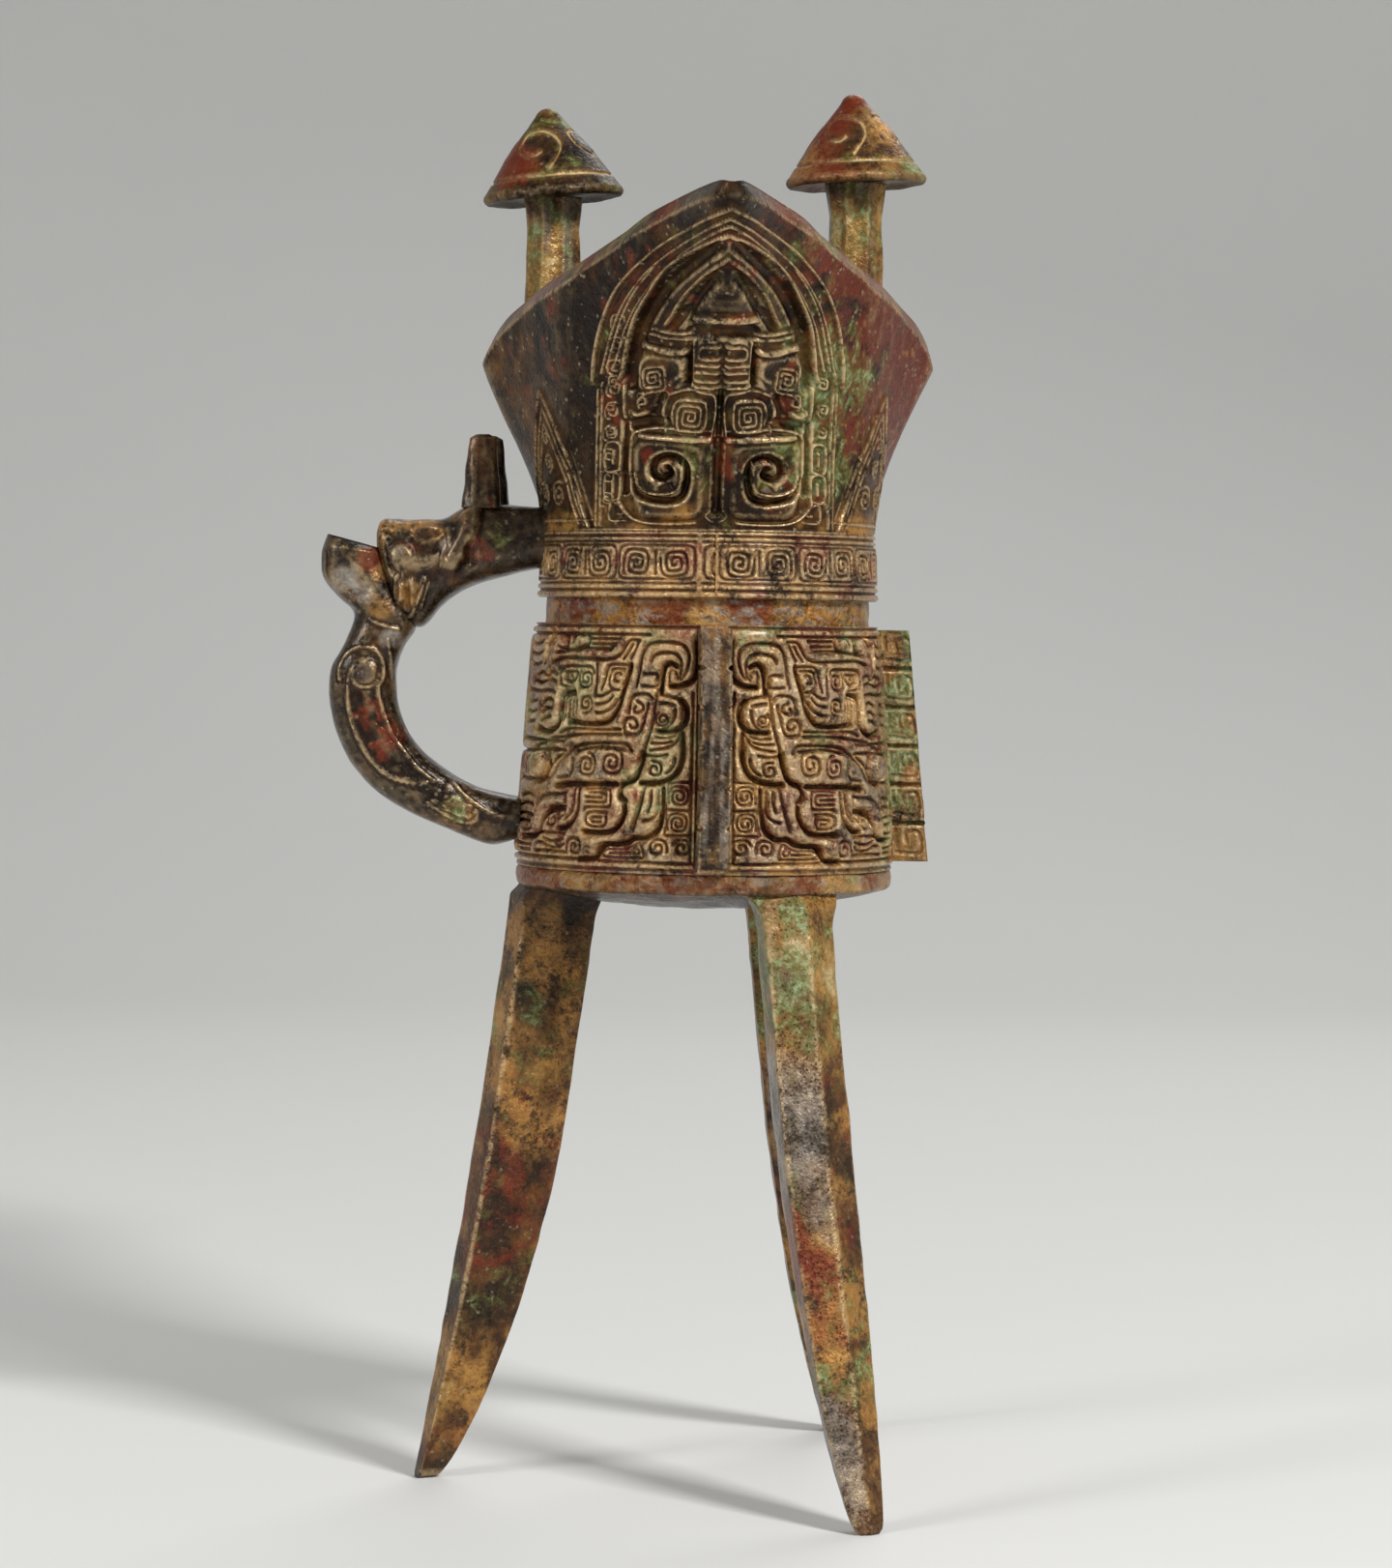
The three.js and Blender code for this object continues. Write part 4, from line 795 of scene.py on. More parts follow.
def belly_plate():
    """Ornament of a quarter of the belly: a beast mask and curling bodies on a ground of squared spirals."""
    plate = Plate(-0.5, BELLY_BOTTOM - 0.5, QUARTER + 0.5, BELLY_TOP + 0.5)
    for line, width, height in BELLY_RIBBONS:
        plate.stroke(line, width, height, 0.45)
    plate.strokes(BELLY_LINES, 0.36, -0.66, 0.17)
    plate.strokes(BELLY_THICK, 0.66, -1.1, 0.24)
    for x, y, radius, turns, start, flip in BELLY_SPIRALS:
        plate.stroke(spiral(x, y, radius, turns, start, 2.6, 0.3, flip), 0.34, -0.62, 0.16)
    plate.stroke([2.4, 98.1, 44, 98.1], 0.5, -0.5, 0.25)
    plate.stroke(spiral(*BELLY_EYE, 3.0, 1.0, 0, 2.0, 3.0), 0.5, -0.8, 0.25)
    plate.boss(*BELLY_EYE, 2.3, 1.1)
    plate.boss(27.3, 132.6, 1.0, 0.7)
    plate.boss(23.2, 132.8, 0.9, 0.5)
    return plate


def band_plate(length):
    """Ornament of half of the upper band: squared spirals in pairs, each pair in its own frame."""
    plate = Plate(-0.5, BAND_BOTTOM - 0.5, length + 0.5, NECK_BOTTOM + 0.5)
    low, middle, high = 142.4, 144.9, 147.6
    for z, width in ((149.0, 0.35), (148.1, 0.3), (141.8, 0.3), (140.7, 0.35)):
        plate.stroke([0.6, z, length - 0.6, z], width, -0.5, 0.18)
    start = 0.9
    while start + 12 < length:
        plate.stroke(rounded_box(start - 0.2, low, start + 12.2, high, 1.2), 0.3, -0.5, 0.18)
        for k, begin, flip in ((0, 250, 1), (1, 90, -1)):
            centre = start + 2.9 + 6.2 * k
            plate.stroke(spiral(centre, middle, 2.35, 2.35, begin, 3.4, 0.3, flip), 0.34, -0.55, 0.18)
        plate.stroke([start + 6.0, 143.2, start + 6.0, 146.8], 0.3, -0.45, 0.18)
        start += 12.9
    plate.stroke(rounded_box(start - 0.2, low, length - 0.8, high, 0.8), 0.3, -0.5, 0.18)
    plate.stroke(spiral((start + length) / 2 - 0.4, middle, 1.9, 1.8, 90), 0.34, -0.5, 0.18)
    return plate


def shell_rows(outer, back):
    """Closed loop of rows: the outer face from the bottom up and the back face from the top down."""
    return np.concatenate([outer, back[::-1]])


def around(radius, angle, height):
    """Points about the cup's axis; the angle starts at the tail and turns towards the far side."""
    return np.stack([radius * np.sin(angle), -radius * np.cos(angle), height], -1)


# Quarters of the belly with their signs across and along the cup
BELLY_QUARTERS = {
    "belly_tail_far": (1, 1), "belly_tail_handle": (-1, 1),
    "belly_spout_far": (1, -1), "belly_spout_handle": (-1, -1),
}


def belly_pieces(material):
    """Belly in four mirrored quarters.

    The radius over arc and height is that of the belly's cone plus the ornament's height and soft noise, less
    the square of a smooth step at the two edges. The back is a plain cone further in.
    """
    plate = belly_plate()
    sheet, crowd = plate.heights(1.7) + 0.4, plate.crowd()
    arcs, levels = np.linspace(0, QUARTER, 262), np.linspace(BELLY_BOTTOM, BELLY_TOP - 0.05, 226)
    arc, height = np.meshgrid(arcs, levels)
    lift = plate.read(sheet, arc, height)
    open_form = ease(plate.read(crowd, arc, height), 0.26, 0.12)
    edge = np.minimum(height - BELLY_BOTTOM, BELLY_TOP - height)
    rounding = 0.5 * ease(edge, 0.7, 0.0) ** 2
    angle = arc / ARC_RADIUS
    back_rows = [0, len(height) // 2, len(height) - 1]
    back = around(belly_radius(height[back_rows]) - 1.6, angle[back_rows], height[back_rows])
    for name, signs in BELLY_QUARTERS.items():
        mirror = np.array([*signs, 1])
        far = signs[0] > 0
        base = around(27 + 0 * arc, angle, height) * mirror
        radius = belly_radius(height) + 0.22 + lift + 0.1 * unevenness(base, 3.0, 5) - rounding
        points = shell_rows(around(radius, angle, height), back)
        masks = relief_masks(points, len(height), 4, 0.2)
        patchy, spotty = unevenness(base, 8.0, 24), unevenness(base, 4.0, 25)
        red = 0.35 * ease(height, 128.5, 133.5) + (0.95 - 0.35 * open_form) * ease(spotty, -0.1, 0.4)
        # grey is a painted sheen of the lamps on the broad forms, stronger on the far side; the tone lightens
        # the far side and darkens the handle's side a little near the flange, painted light from the key lamp
        # on the right
        colours = {
            "grey": 0.5 * open_form * ease(patchy, -0.2 if far else 0.0, 0.5) * ease(height, 133, 129),
            "red": red + 0.25 * ease(arc, 22, 36) + 0.2 * ease(arc, 6, 2),
            "green": 0.5 * ease(patchy, 0.1, -0.5) + (0.3 * ease(arc, 30, 40) if far else 0.0),
            "ochre": (0.8 - 0.45 * open_form) * ease(spotty, 0.4, -0.3),
            "tone": -0.14 * open_form + (0.1 if far else -0.04) * ease(arc, 36, 10),
        }
        for mask, values in colours.items():
            masks[mask] = np.concatenate([values, np.zeros((len(back_rows), arc.shape[1]))])
        piece(name, points * mirror, material, ("cup_body",), (True, False), masks)


def band_pieces(material):
    """Ornament band in two mirrored halves.

    The radius over arc and height is that of the band's cone plus the ornament's height and soft noise, less
    smooth steps at the two edges. At both ends the ornament gives way to a seam, a low uneven ridge.
    """
    middle_radius = BAND_RADII[0]
    length = math.pi * middle_radius
    plate = band_plate(length)
    sheet = plate.heights(0.7) + 0.15
    arc, height = np.meshgrid(np.linspace(0, length, 430), np.linspace(BAND_BOTTOM, NECK_BOTTOM, 62))
    angle = arc / middle_radius
    cone = mix(*BAND_RADII, (height - BAND_BOTTOM) / (NECK_BOTTOM - BAND_BOTTOM))
    back_rows = [0, len(height) - 1]
    back = around(np.full_like(arc[back_rows], 25.0), angle[back_rows], height[back_rows])
    for name, side in (("thunder_band_far", 1), ("thunder_band_handle", -1)):
        mirror = np.array([side, 1, 1])
        shift = 0.0 if side > 0 else 2.4
        lift = plate.read(sheet, np.abs(arc - shift), height)
        base = around(middle_radius, angle, height) * mirror
        seam = 0.5 * ease(np.minimum(arc, length - arc), 1.2, 0.2) * (0.6 + 0.4 * unevenness(base, 0.9, 7))
        radius = cone + 0.2 + lift * (1 - seam) + 0.25 * seam + 0.05 * unevenness(base, 2.2, 6)
        radius = radius - 0.4 * ease(height - BAND_BOTTOM, 0.5, 0.0) ** 2
        radius = radius - 0.2 * ease(NECK_BOTTOM - height, 0.3, 0.0)
        points = shell_rows(around(radius, angle, height), back)
        masks = relief_masks(points, len(height), 3, 0.15)
        spotty = unevenness(points * mirror, 5.0, 26)
        masks["red"] = 0.55 * ease(spotty, -0.1, 0.5)
        masks["ochre"] = 0.6 * ease(spotty, 0.1, -0.5)
        piece(name, points * mirror, material, ("cup_body",), (True, False), masks)


def liner_piece(material):
    """Underside, foot ring, plain groove and inside of the cup, one closed surface from pole to pole.

    A profile is turned about the cup's axis: a dome whose height is a power of the radius, then straight
    lines between named places. Soft noise moves the points along their normals.
    """
    dome_radii = np.linspace(0.3, RING_RADIUS - 0.6, 16)
    dome = [[radius, DOME_BOTTOM + 3.5 * (radius / RING_RADIUS) ** 2.2] for radius in dome_radii]
    ring = [
        [RING_RADIUS - 0.15, RING_BOTTOM + 0.15], [RING_RADIUS, RING_BOTTOM + 0.5],
        [RING_RADIUS + 0.12, RING_BOTTOM + 1.5], [RING_RADIUS, BELLY_BOTTOM - 0.6],
        [RING_RADIUS - 0.25, BELLY_BOTTOM - 0.2], [RING_RADIUS - 0.5, BELLY_BOTTOM + 0.05],
        [BELLY_RADII[0] - 1.5, BELLY_BOTTOM + 0.1],
    ]
    groove = [
        [BELLY_RADII[1] - 1.5, BELLY_TOP - 0.8], [GROOVE_RADIUS + 0.1, BELLY_TOP - 0.3],
        [GROOVE_RADIUS, BELLY_TOP + 0.6], [GROOVE_RADIUS + 0.06, BELLY_TOP + 2],
        [GROOVE_RADIUS, BAND_BOTTOM - 0.5], [GROOVE_RADIUS - 0.1, BAND_BOTTOM + 0.4],
    ]
    neck = BAND_RADII[1] - MOUTH_WALL
    wall = BELLY_RADII[0] - WALL
    edge = FLOOR_TOP + 1.75
    inside = [
        [GROOVE_RADIUS - 0.7, NECK_BOTTOM + 0.6], [neck + 0.15, NECK_BOTTOM + 1.6], [neck, NECK_BOTTOM],
        [BELLY_RADII[1] - WALL, BELLY_TOP], [wall, edge + 4], [wall - 0.8, edge + 1.6],
        [wall - 2.2, edge + 0.4], [wall - 4.5, edge],
        [wall / 2, mix(FLOOR_TOP, edge, 0.25)], [0.3, FLOOR_TOP],
    ]
    points = lathe(dense(dome + ring + groove + inside, 0.6), 300)
    rough = 0.13 * unevenness(points, 2.6, 9) + 0.12 * unevenness(points, 5.5, 10)
    points, crest, hollow = raised(points, grid_normals(points, False, True), rough, 2, 0.1)
    x, z = points[..., 0], points[..., 2]
    inner = ease(np.hypot(x, points[..., 1]), 24.4, 23.9)
    in_groove = ease(z, 134.8, 135.8) * ease(z, 140.2, 139.2) * (1 - inner)
    on_ring = ease(z, 94.0, 95.0) * ease(z, 98.4, 97.6) * (1 - inner)
    # below marks the dome's underside, given painted shade through the hollow mask and the tone
    below = ease(z, 94.8, 94.2)
    patchy, spotty = unevenness(points, 7.0, 27), unevenness(points, 3.2, 28)
    streaks = streaked(points, 2.2, 1.3, 29)
    red = 0.75 * ease(patchy, 0.3, -0.3) + 0.3 * ease(np.abs(x), 8, 20)
    green = 0.35 * (in_groove + on_ring) * ease(x, 10, 22) * ease(spotty, -0.3, 0.4)
    masks = {
        "crest": crest * 0.3,
        "hollow": np.maximum(hollow * 0.5, below * (1 - inner)),
        # grey paints streaky reflections of the lamps in the groove and on the ring
        "grey": (0.7 * in_groove + 0.45 * on_ring) * ease(streaks, 0.0, 0.5),
        "ochre": (0.8 * in_groove + 0.6 * on_ring) * ease(patchy, -0.3, 0.3),
        "red": (in_groove + 0.6 * on_ring) * red,
        "green": green - 0.2 * in_groove * ease(x, 10, 0),
        "tone": 0.2 * (in_groove + on_ring) * ease(spotty, -0.6, 0.2) - 0.5 * below,
    }
    piece("foot_ring_groove_and_inside", points, material, ("cup_body",), (False, True), masks)


# Half of the tail's leaf, right of the middle: across and height as seen from the tail
LEAF_FINE = [
    [0, 194.1, 1.2, 193.6, 4, 192.4, 7, 190.9, 9.5, 189.4, 11.8, 187.4, 13.8, 184.8, 15.2, 182.2, 16.3, 179,
     17, 176, 17.6, 173.5],
    [0, 193.1, 1.2, 192.7, 4, 191.3, 6.3, 190, 9, 188, 11, 185.7, 12.9, 182.8, 14.2, 180, 15, 177, 15.8,
     174.2], [10.4, 188.4, 13, 185.2, 14.8, 181.5, 15.8, 178, 16.8, 174.3], [5.2, 177.9, 8, 178.2, 10.8, 179],
    [5, 178.6, 7.6, 178.9, 10.4, 179.7],
    [1, 164.8, 5, 165, 9.2, 165.2, 11.6, 164.9, 12.9, 163.9, 13.1, 160, 12.9, 157],
    [5.1, 160.3, 5.2, 158, 5.7, 156.3, 7.2, 155.6, 9.6, 155.6, 11.4, 156.6, 12, 158.6],
    [13.6, 151.3, 15.9, 151.4, 15.8, 154, 14.6, 153.6, 13.9, 152.4, 14.8, 152.3], [17.4, 172, 17.4, 150.5],
    [18, 171, 18, 150.5], [14.6, 154.6, 16.6, 154.6, 16.6, 158.2, 14.6, 158.2, 14.6, 154.6],
    [15.6, 155.6, 15.6, 157.2], [14.6, 159, 16.6, 159, 16.6, 162.8, 14.6, 162.8, 14.6, 159],
    [15.6, 160, 15.6, 161.8], [0.1, 171.2, 4.2, 171.4], [0.4, 172.1, 3.8, 172.3, 3.8, 173.4, 0.4, 173.3],
    [0.4, 174.3, 3.9, 174.5], [4.2, 177.6, 4.3, 171.4], [0.4, 175.3, 3, 175.4, 3, 176.9, 0.4, 176.9],
    [1.1, 164, 7.4, 164.1, 7.4, 170.1, 1.1, 170, 1.1, 164], [8.4, 170, 8.4, 165.8],
    [0.6, 151.2, 1.6, 152, 1, 152.8], [13.4, 164.9, 14.1, 168, 14.2, 171.4],
    [9.7, 170.8, 10.9, 170.4, 11.9, 169.4, 11.6, 168.4],
]
LEAF_BOLD = [
    [0, 195.6, 1.6, 194.9, 4, 193.9, 6, 193, 8, 192.2, 10, 191.1, 12, 189.5, 14, 187.6, 15.6, 185.6, 16.8,
     183.2, 17.7, 180.6, 18.3, 178, 18.7, 175.2, 18.8, 172],
    [0, 192.1, 1.3, 191.5, 4, 190.6, 6, 189.7, 8.2, 188.4, 9.6, 187, 11.1, 184.8, 12.4, 182.6, 13.3, 180.4,
     14, 177, 14.4, 174, 14.9, 172.6],
    [0, 188.9, 0.9, 188.3, 2.5, 187.3, 4, 186, 6, 183.9, 7.4, 181.6, 8.3, 180.3],
    [3.2, 151, 6, 150.8, 10, 150.9, 12.4, 151.6, 13.8, 152.9, 14.6, 154.2],
]
LEAF_BARS = [
    [5.2, 176.2, 8, 176.6, 11.6, 177.5], [0, 180.6, 2.4, 180.6, 4.4, 180.9],
    [1.4, 163.6, 5.4, 163.9, 11.4, 164.3], [10.7, 167.7, 11.8, 167.5, 13, 167.8],
]
# Squared spirals: across, height, radius, turns, start and way round
LEAF_SPIRALS = [
    (9.5, 172.8, 2, 2.6, 45, 1), (4.2, 167, 2.6, 3.1, 45, -1), (11.3, 169.6, 1, 1.3, 0, 1),
    (15.7, 172.2, 0.9, 1.4, 0, 1), (16, 168.4, 0.9, 1.4, 90, 1), (15.9, 164.9, 0.8, 1.2, 0, 1),
]
# Raised forms and sunk channels: line, width, height and how far the edge is spread
LEAF_FORMS = [
    ([4.2, 154, 9.8, 154], 4.6, 0.9, 0.8), ([4.4, 161, 10, 161.4], 5, 0.9, 0.8),
    ([4.2, 154.4, 4.2, 161], 4.6, 0.9, 0.8), ([10.2, 154.4, 10.4, 161.2], 4.2, 0.9, 0.8),
    ([7.2, 173.9, 10, 174.2], 4.4, 1, 0.6), ([7.4, 172.2, 10, 172.4], 4.2, 0.8, 0.6),
    ([10.8, 170.4, 11.6, 168.2], 2, 0.6, 0.5), ([4.2, 167, 4.4, 167.1], 5.6, 0.5, 0.5),
    ([2.2, 171.8, 2.2, 176.4], 3.4, 0.5, 0.4), ([0, 182.8, 1.7, 182.8], 2.8, 0.35, 1.1),
    ([0, 184.4, 0.5, 184.4], 2.2, 0.35, 1.1), ([0, 150.6, 0.2, 151.6], 1.6, 0.7, 0.6),
]
LEAF_SUNK = [
    ([12.6, 157.6, 12, 155.9, 10.2, 154.9, 7.4, 154.4, 5.3, 155, 4.5, 157.2, 4.6, 159.6, 5.7, 160.9, 7.5,
     161.2, 9.1, 160.4, 9.4, 158.8, 8.4, 157.8, 7, 158.4, 7.2, 159.4], 0.9, 1.4, 0.4),
    ([13.7, 166.2, 13.8, 160, 13.7, 155.8], 0.8, 1, 0.4), ([4.7, 172, 4.8, 177], 0.8, 1.1, 0.4),
    ([1.4, 190.4, 5.2, 188.2, 8.4, 185.6, 10.6, 182.4, 12, 179.4, 12.9, 175.6, 13.2, 171.8], 1.7, 1.3, 0.6),
    ([0, 163.2, 0, 153], 1.2, 1, 0.5), ([0, 170.6, 0, 164], 0.7, 0.8, 0.3),
    ([8, 166, 9.6, 166.2, 13, 165.8], 1.4, 0.9, 0.5), ([8.2, 170.2, 9.2, 168.2, 9.4, 166.4], 1, 0.8, 0.4),
    ([1.6, 186.2, 3.4, 184.4, 5, 182.2], 1.2, 0.8, 0.6), ([5.6, 182, 7.4, 179.8], 1.2, 0.7, 0.4),
    ([0.2, 178.8, 4.6, 179], 1.6, 0.9, 0.5),
]


def tail_plates():
    """Leaf on the tail seen square on: a sheet of fine raised lines and one of raised forms and channels."""
    plate, forms = Plate(-30, 149, 30, 200), Plate(-30, 149, 30, 200)
    for side in (1, -1):
        flip = np.array([side, 1.0])
        mirror = lambda line: smooth_line(line) * flip
        plate.strokes([mirror(line) for line in LEAF_FINE], 0.3, 0.5, 0.18)
        plate.strokes([mirror(line) for line in LEAF_BOLD], 0.45, 0.75, 0.22)
        plate.strokes([mirror(line) for line in LEAF_BARS], 0.8, 1.0, 0.3)
        for x, y, radius, turns, start, way in LEAF_SPIRALS:
            plate.stroke(spiral(x, y, radius, turns, start, 5, 0.2, way) * flip, 0.26, 0.45, 0.14)
        for line, width, height, soft in LEAF_FORMS:
            forms.stroke(mirror(line), width, height, soft)
        for line, width, depth, soft in LEAF_SUNK:
            forms.stroke(mirror(line), width, -depth, soft)
        plate.stroke(mirror([18.7, 150.4, 20.0, 154.0, 22.0, 160.0, 24.4, 166.6]), 0.4, -0.8, 0.25)
        plate.stroke(mirror([19.3, 150.4, 20.6, 154.0, 22.6, 160.0, 24.9, 166.2]), 0.3, 0.35, 0.2)
        plate.stroke(mirror([0.2, 149.9, 30, 149.9]), 0.4, 0.2, 0.15)
        plate.stroke(mirror([17.4, 151.4, 24.0, 151.5]), 0.3, 0.35, 0.15)
    for y in np.arange(154.6, 184.0, 3.3):
        x = mix(-16.4, -15.2, (y - 155) / 27)
        plate.stroke(spiral(x, y, 1.2, 1.6, 30, 3.2, 0.25), 0.26, 0.4, 0.15)
    return plate, forms


def side_leaf_plate():
    """Standing leaf beside the tail's: nested borders and curls, over arc at the neck's radius and height."""
    plate = Plate(18, 149, 64, 182)
    foot = np.array([32.0, 152.0])
    edges = [
        [20.9, 150.4, 22.6, 154, 25.0, 160, 28.6, 166.6, 32.0, 171.4],
        [32.0, 171.4, 35.4, 166.6, 39.0, 160, 41.6, 154, 43.0, 150.4],
    ]
    curls = [
        (29.0, 155.4, 2.0, 1.8, 200, 1), (35.0, 155.4, 2.0, 1.8, -20, -1),
        (32.0, 160.4, 1.5, 1.5, 90, 1), (32.0, 164.0, 1.0, 1.2, 90, 1),
    ]
    plate.strokes(edges, 0.45, 0.4, 0.2)
    for share in (0.86, 0.74):
        for edge in edges:
            plate.stroke(foot + (smooth_line(edge) - foot) * share, 0.3, 0.35, 0.18)
    for x, y, radius, turns, start, way in curls:
        plate.stroke(spiral(x, y, radius, turns, start, 2.6, 0.3, way), 0.3, 0.4, 0.18)
    plate.stroke([20.0, 151.3, 64, 151.3], 0.3, 0.3, 0.15)
    return plate


TIP_HEIGHT = 199.5


def mouth_colours(points, masks):
    """Patches of patina on the mouth by place: red at the far side, green on the leaf, pale along the rim.
    The pale strip along the rim is a painted highlight under real red and green flecks.
    """
    x, z = points[..., 0], points[..., 2]
    at_tail = points[..., 1] < 0
    tip = ease(np.hypot(x, z - TIP_HEIGHT), 7, 3) * at_tail
    inside_leaf = ease(np.abs(x), 19, 16) * ease(z, 151, 156) * ease(z, 197, 192) * at_tail
    patchy = 0.5 + 0.5 * unevenness(points, 6.0, 21)
    spotty, speckled = unevenness(points, 3.0, 22), unevenness(points, 0.8, 23)
    far = ease(x, 8, 22) * ease(z, 156, 166)
    edge = masks.pop("edge") * ease(np.abs(x), 2, 8)
    low = ease(z, 157, 150)
    red = far * (0.3 + 0.45 * patchy) + 0.4 * edge * patchy + 0.3 * ease(x, 0, 8) * ease(z, 182, 192)
    red = red + 0.35 * inside_leaf * ease(spotty, 0.1, 0.6)
    # The tone's lift on the rim strip is a painted highlight
    tone = 0.2 * low + 0.25 * edge - 0.22 * inside_leaf - 0.18 * far
    ochre = 0.7 * (low + 0.5 * edge + 0.2 * inside_leaf) * ease(spotty, 0.0, -0.5)
    green = 0.5 * ease(np.hypot(x - 18, z - 173), 13, 2) + 0.5 * ease(np.hypot(x - 14.5, z - 160), 10, 2)
    green = green + 0.4 * edge * (1 - patchy) + 0.25 * ease(np.hypot(x + 4, z - 163), 7, 2)
    return {
        "crest": masks["crest"] * (1 - 0.8 * tip) * (1 + 0.1 * inside_leaf),
        "hollow": masks["hollow"],
        "red": red + 0.2 * ease(x, -12, -20) * ease(spotty, 0.2, 0.7),
        "tone": tone + 0.1 * ease(x, 14, 30) * ease(z, 170, 152) - 0.15 * tip,
        "ochre": ochre + 0.5 * far * ease(speckled, 0.35, 0.8),
        "green": green + 0.25 * inside_leaf * ease(spotty, 0.0, -0.6),
    }


def mouth_pieces(material):
    """Mouth in four stretches of its skin, the leaves' heights standing out along the skin's normals."""
    plate, forms = tail_plates()
    lines, low = plate.heights(), forms.heights()
    side = side_leaf_plate()
    side_lines = side.heights()

    def relief(skin):
        """Leaf seen square on at the tail and again under the spout, and one on either side between them."""
        x, y, z = np.moveaxis(skin, -1, 0)
        arc = np.abs(np.arctan2(x, -y)) * BAND_RADII[1]
        front = ease(arc, 22.5, 21.0)
        back = ease(arc, 61.5, 63.5)
        beside = side.read(side_lines, arc, z) * (1 - front) * (1 - back) * ease(z, 178, 172)
        under_x, under_z = x * 1.2, 150 + (z - 150) * 1.1
        fine = plate.read(lines, x, z) * np.maximum(front, ease(y, 0, -6) * ease(arc, 26, 22)) + beside
        fine = fine + plate.read(lines, under_x, under_z) * back
        return fine + (forms.read(low, x, z) * front + forms.read(low, under_x, under_z) * back)

    stretches = [
        ("mouth_tail", -6.5, 6.5, 320, 320), ("mouth_far_side", 6.5, 15, 150, 200),
        ("mouth_handle_side", -15, -6.5, 150, 200), ("mouth_spout", 15, 2 * LAST - 15, 360, 200),
    ]
    for name, first, last, columns, rows in stretches:
        points, masks = mouth_piece(np.linspace(first, last, columns), rows, relief)
        masks = mouth_colours(points, masks)
        piece(name, points, material, ("cup_body",), (True, False), masks)


# Legs


# Depth and width of a leg's section at the foot and where it is fullest
LEG_DEPTHS, LEG_WIDTHS = (3.4, 13.9), (3.8, 12.3)


def leg_piece(name, splay, degrees, material):
    """Blade leg: seven-cornered sections, softened at the corners, swept from the floor up to the dome.

    share is 1 at the floor and 0 at the dome. The outer edge stands out by the splay times a mix of the share
    and its square. Depth and width grow from the foot by roots of one less a power of the share, and flare in
    a quarter circle at the dome.
    """
    share = np.concatenate([np.linspace(1, 0.08, 150), np.linspace(0.077, 0.0, 26)])[:, None]
    below = RING_BOTTOM * share
    taper = np.clip((share - 0.4) / 0.6, 0, 1)
    swell = 1 - taper**1.7
    root = np.clip(1 - below / 6.5, 0, 1)
    fillet = 3.2 * (1 - np.sqrt(1 - root**2))
    bulge = mix(-0.3, 0.9, ease(below, 0, 2))
    outer = RING_RADIUS + bulge + splay * mix(share, share**2, 0.23)
    inner = outer - mix(*LEG_DEPTHS, swell**0.65) - fillet
    half = mix(*LEG_WIDTHS, np.sqrt(swell)) / 2 + fillet
    ridge = 2.5 * np.minimum(1, (outer - inner) / LEG_DEPTHS[1])
    edge = np.full_like(half, 0.8)
    waist, side = mix(outer, inner, 0.62), half * 0.62
    corners_x = np.concatenate([outer, outer - ridge, waist, inner, inner, waist, outer - ridge], 1)
    corners_y = np.concatenate([0 * half, half, side, edge, -edge, -side, -half], 1)
    per_side = 16
    count = 7 * per_side
    station = np.arange(count) / per_side
    x, y = on_outline(corners_x, station), on_outline(corners_y, station)
    for _ in range(2):
        x = (np.roll(x, 1, 1) + 2 * x + np.roll(x, -1, 1)) / 4
        y = (np.roll(y, 1, 1) + 2 * y + np.roll(y, -1, 1)) / 4
    z = np.repeat(RING_BOTTOM - below, count, 1)
    floor_rounding = 0.35 * ease(z, 0.8, 0.0)
    x = mix(x, corners_x.mean(1)[:, None], floor_rounding * 0.3)
    y = y * (1 - floor_rounding * 0.3)
    points = turned(x, y, z, degrees)
    normals = grid_normals(points, False, True)
    uneven = 0.14 * unevenness(points, 7, 11) + 0.1 * unevenness(points, 2.6, 12)
    points = points + normals * (uneven * ease(z, 0.2, 1.5))[..., None]
    # The masks are worked out on a grid that goes on for some columns beyond either end
    margin = 8
    wide, wide_normals = (
        np.concatenate([grid[:, -margin:], grid, grid[:, :margin]], 1) for grid in (points, normals)
    )
    crest, hollow = edge_masks(wide, wide_normals, 2, 0.16)
    crest, hollow = crest[:, margin:-margin], hollow[:, margin:-margin]
    below_dome = ease(z, 90, 84)
    column = np.arange(count)
    sharp_corners = (0, per_side, 6 * per_side)
    from_corners = [np.abs((column - corner + count // 2) % count - count // 2) for corner in sharp_corners]
    # Painted highlight: a broken pale line along the three sharp corners, given through the ridge mask
    painted_ridge_highlight = ease(np.min(from_corners, 0), 1.8, 0.5) * ease(unevenness(points, 6, 15), -0.7, 0.1)
    crest = np.maximum(0.8 * ease(crest * below_dome, 0.25, 0.9), 0.7 * (painted_ridge_highlight * below_dome))
    masks = {"crest": crest, "hollow": 0.5 * hollow, **leg_colours(name, points, y, z)}
    piece(name, points, material, (name,), (False, True), masks)


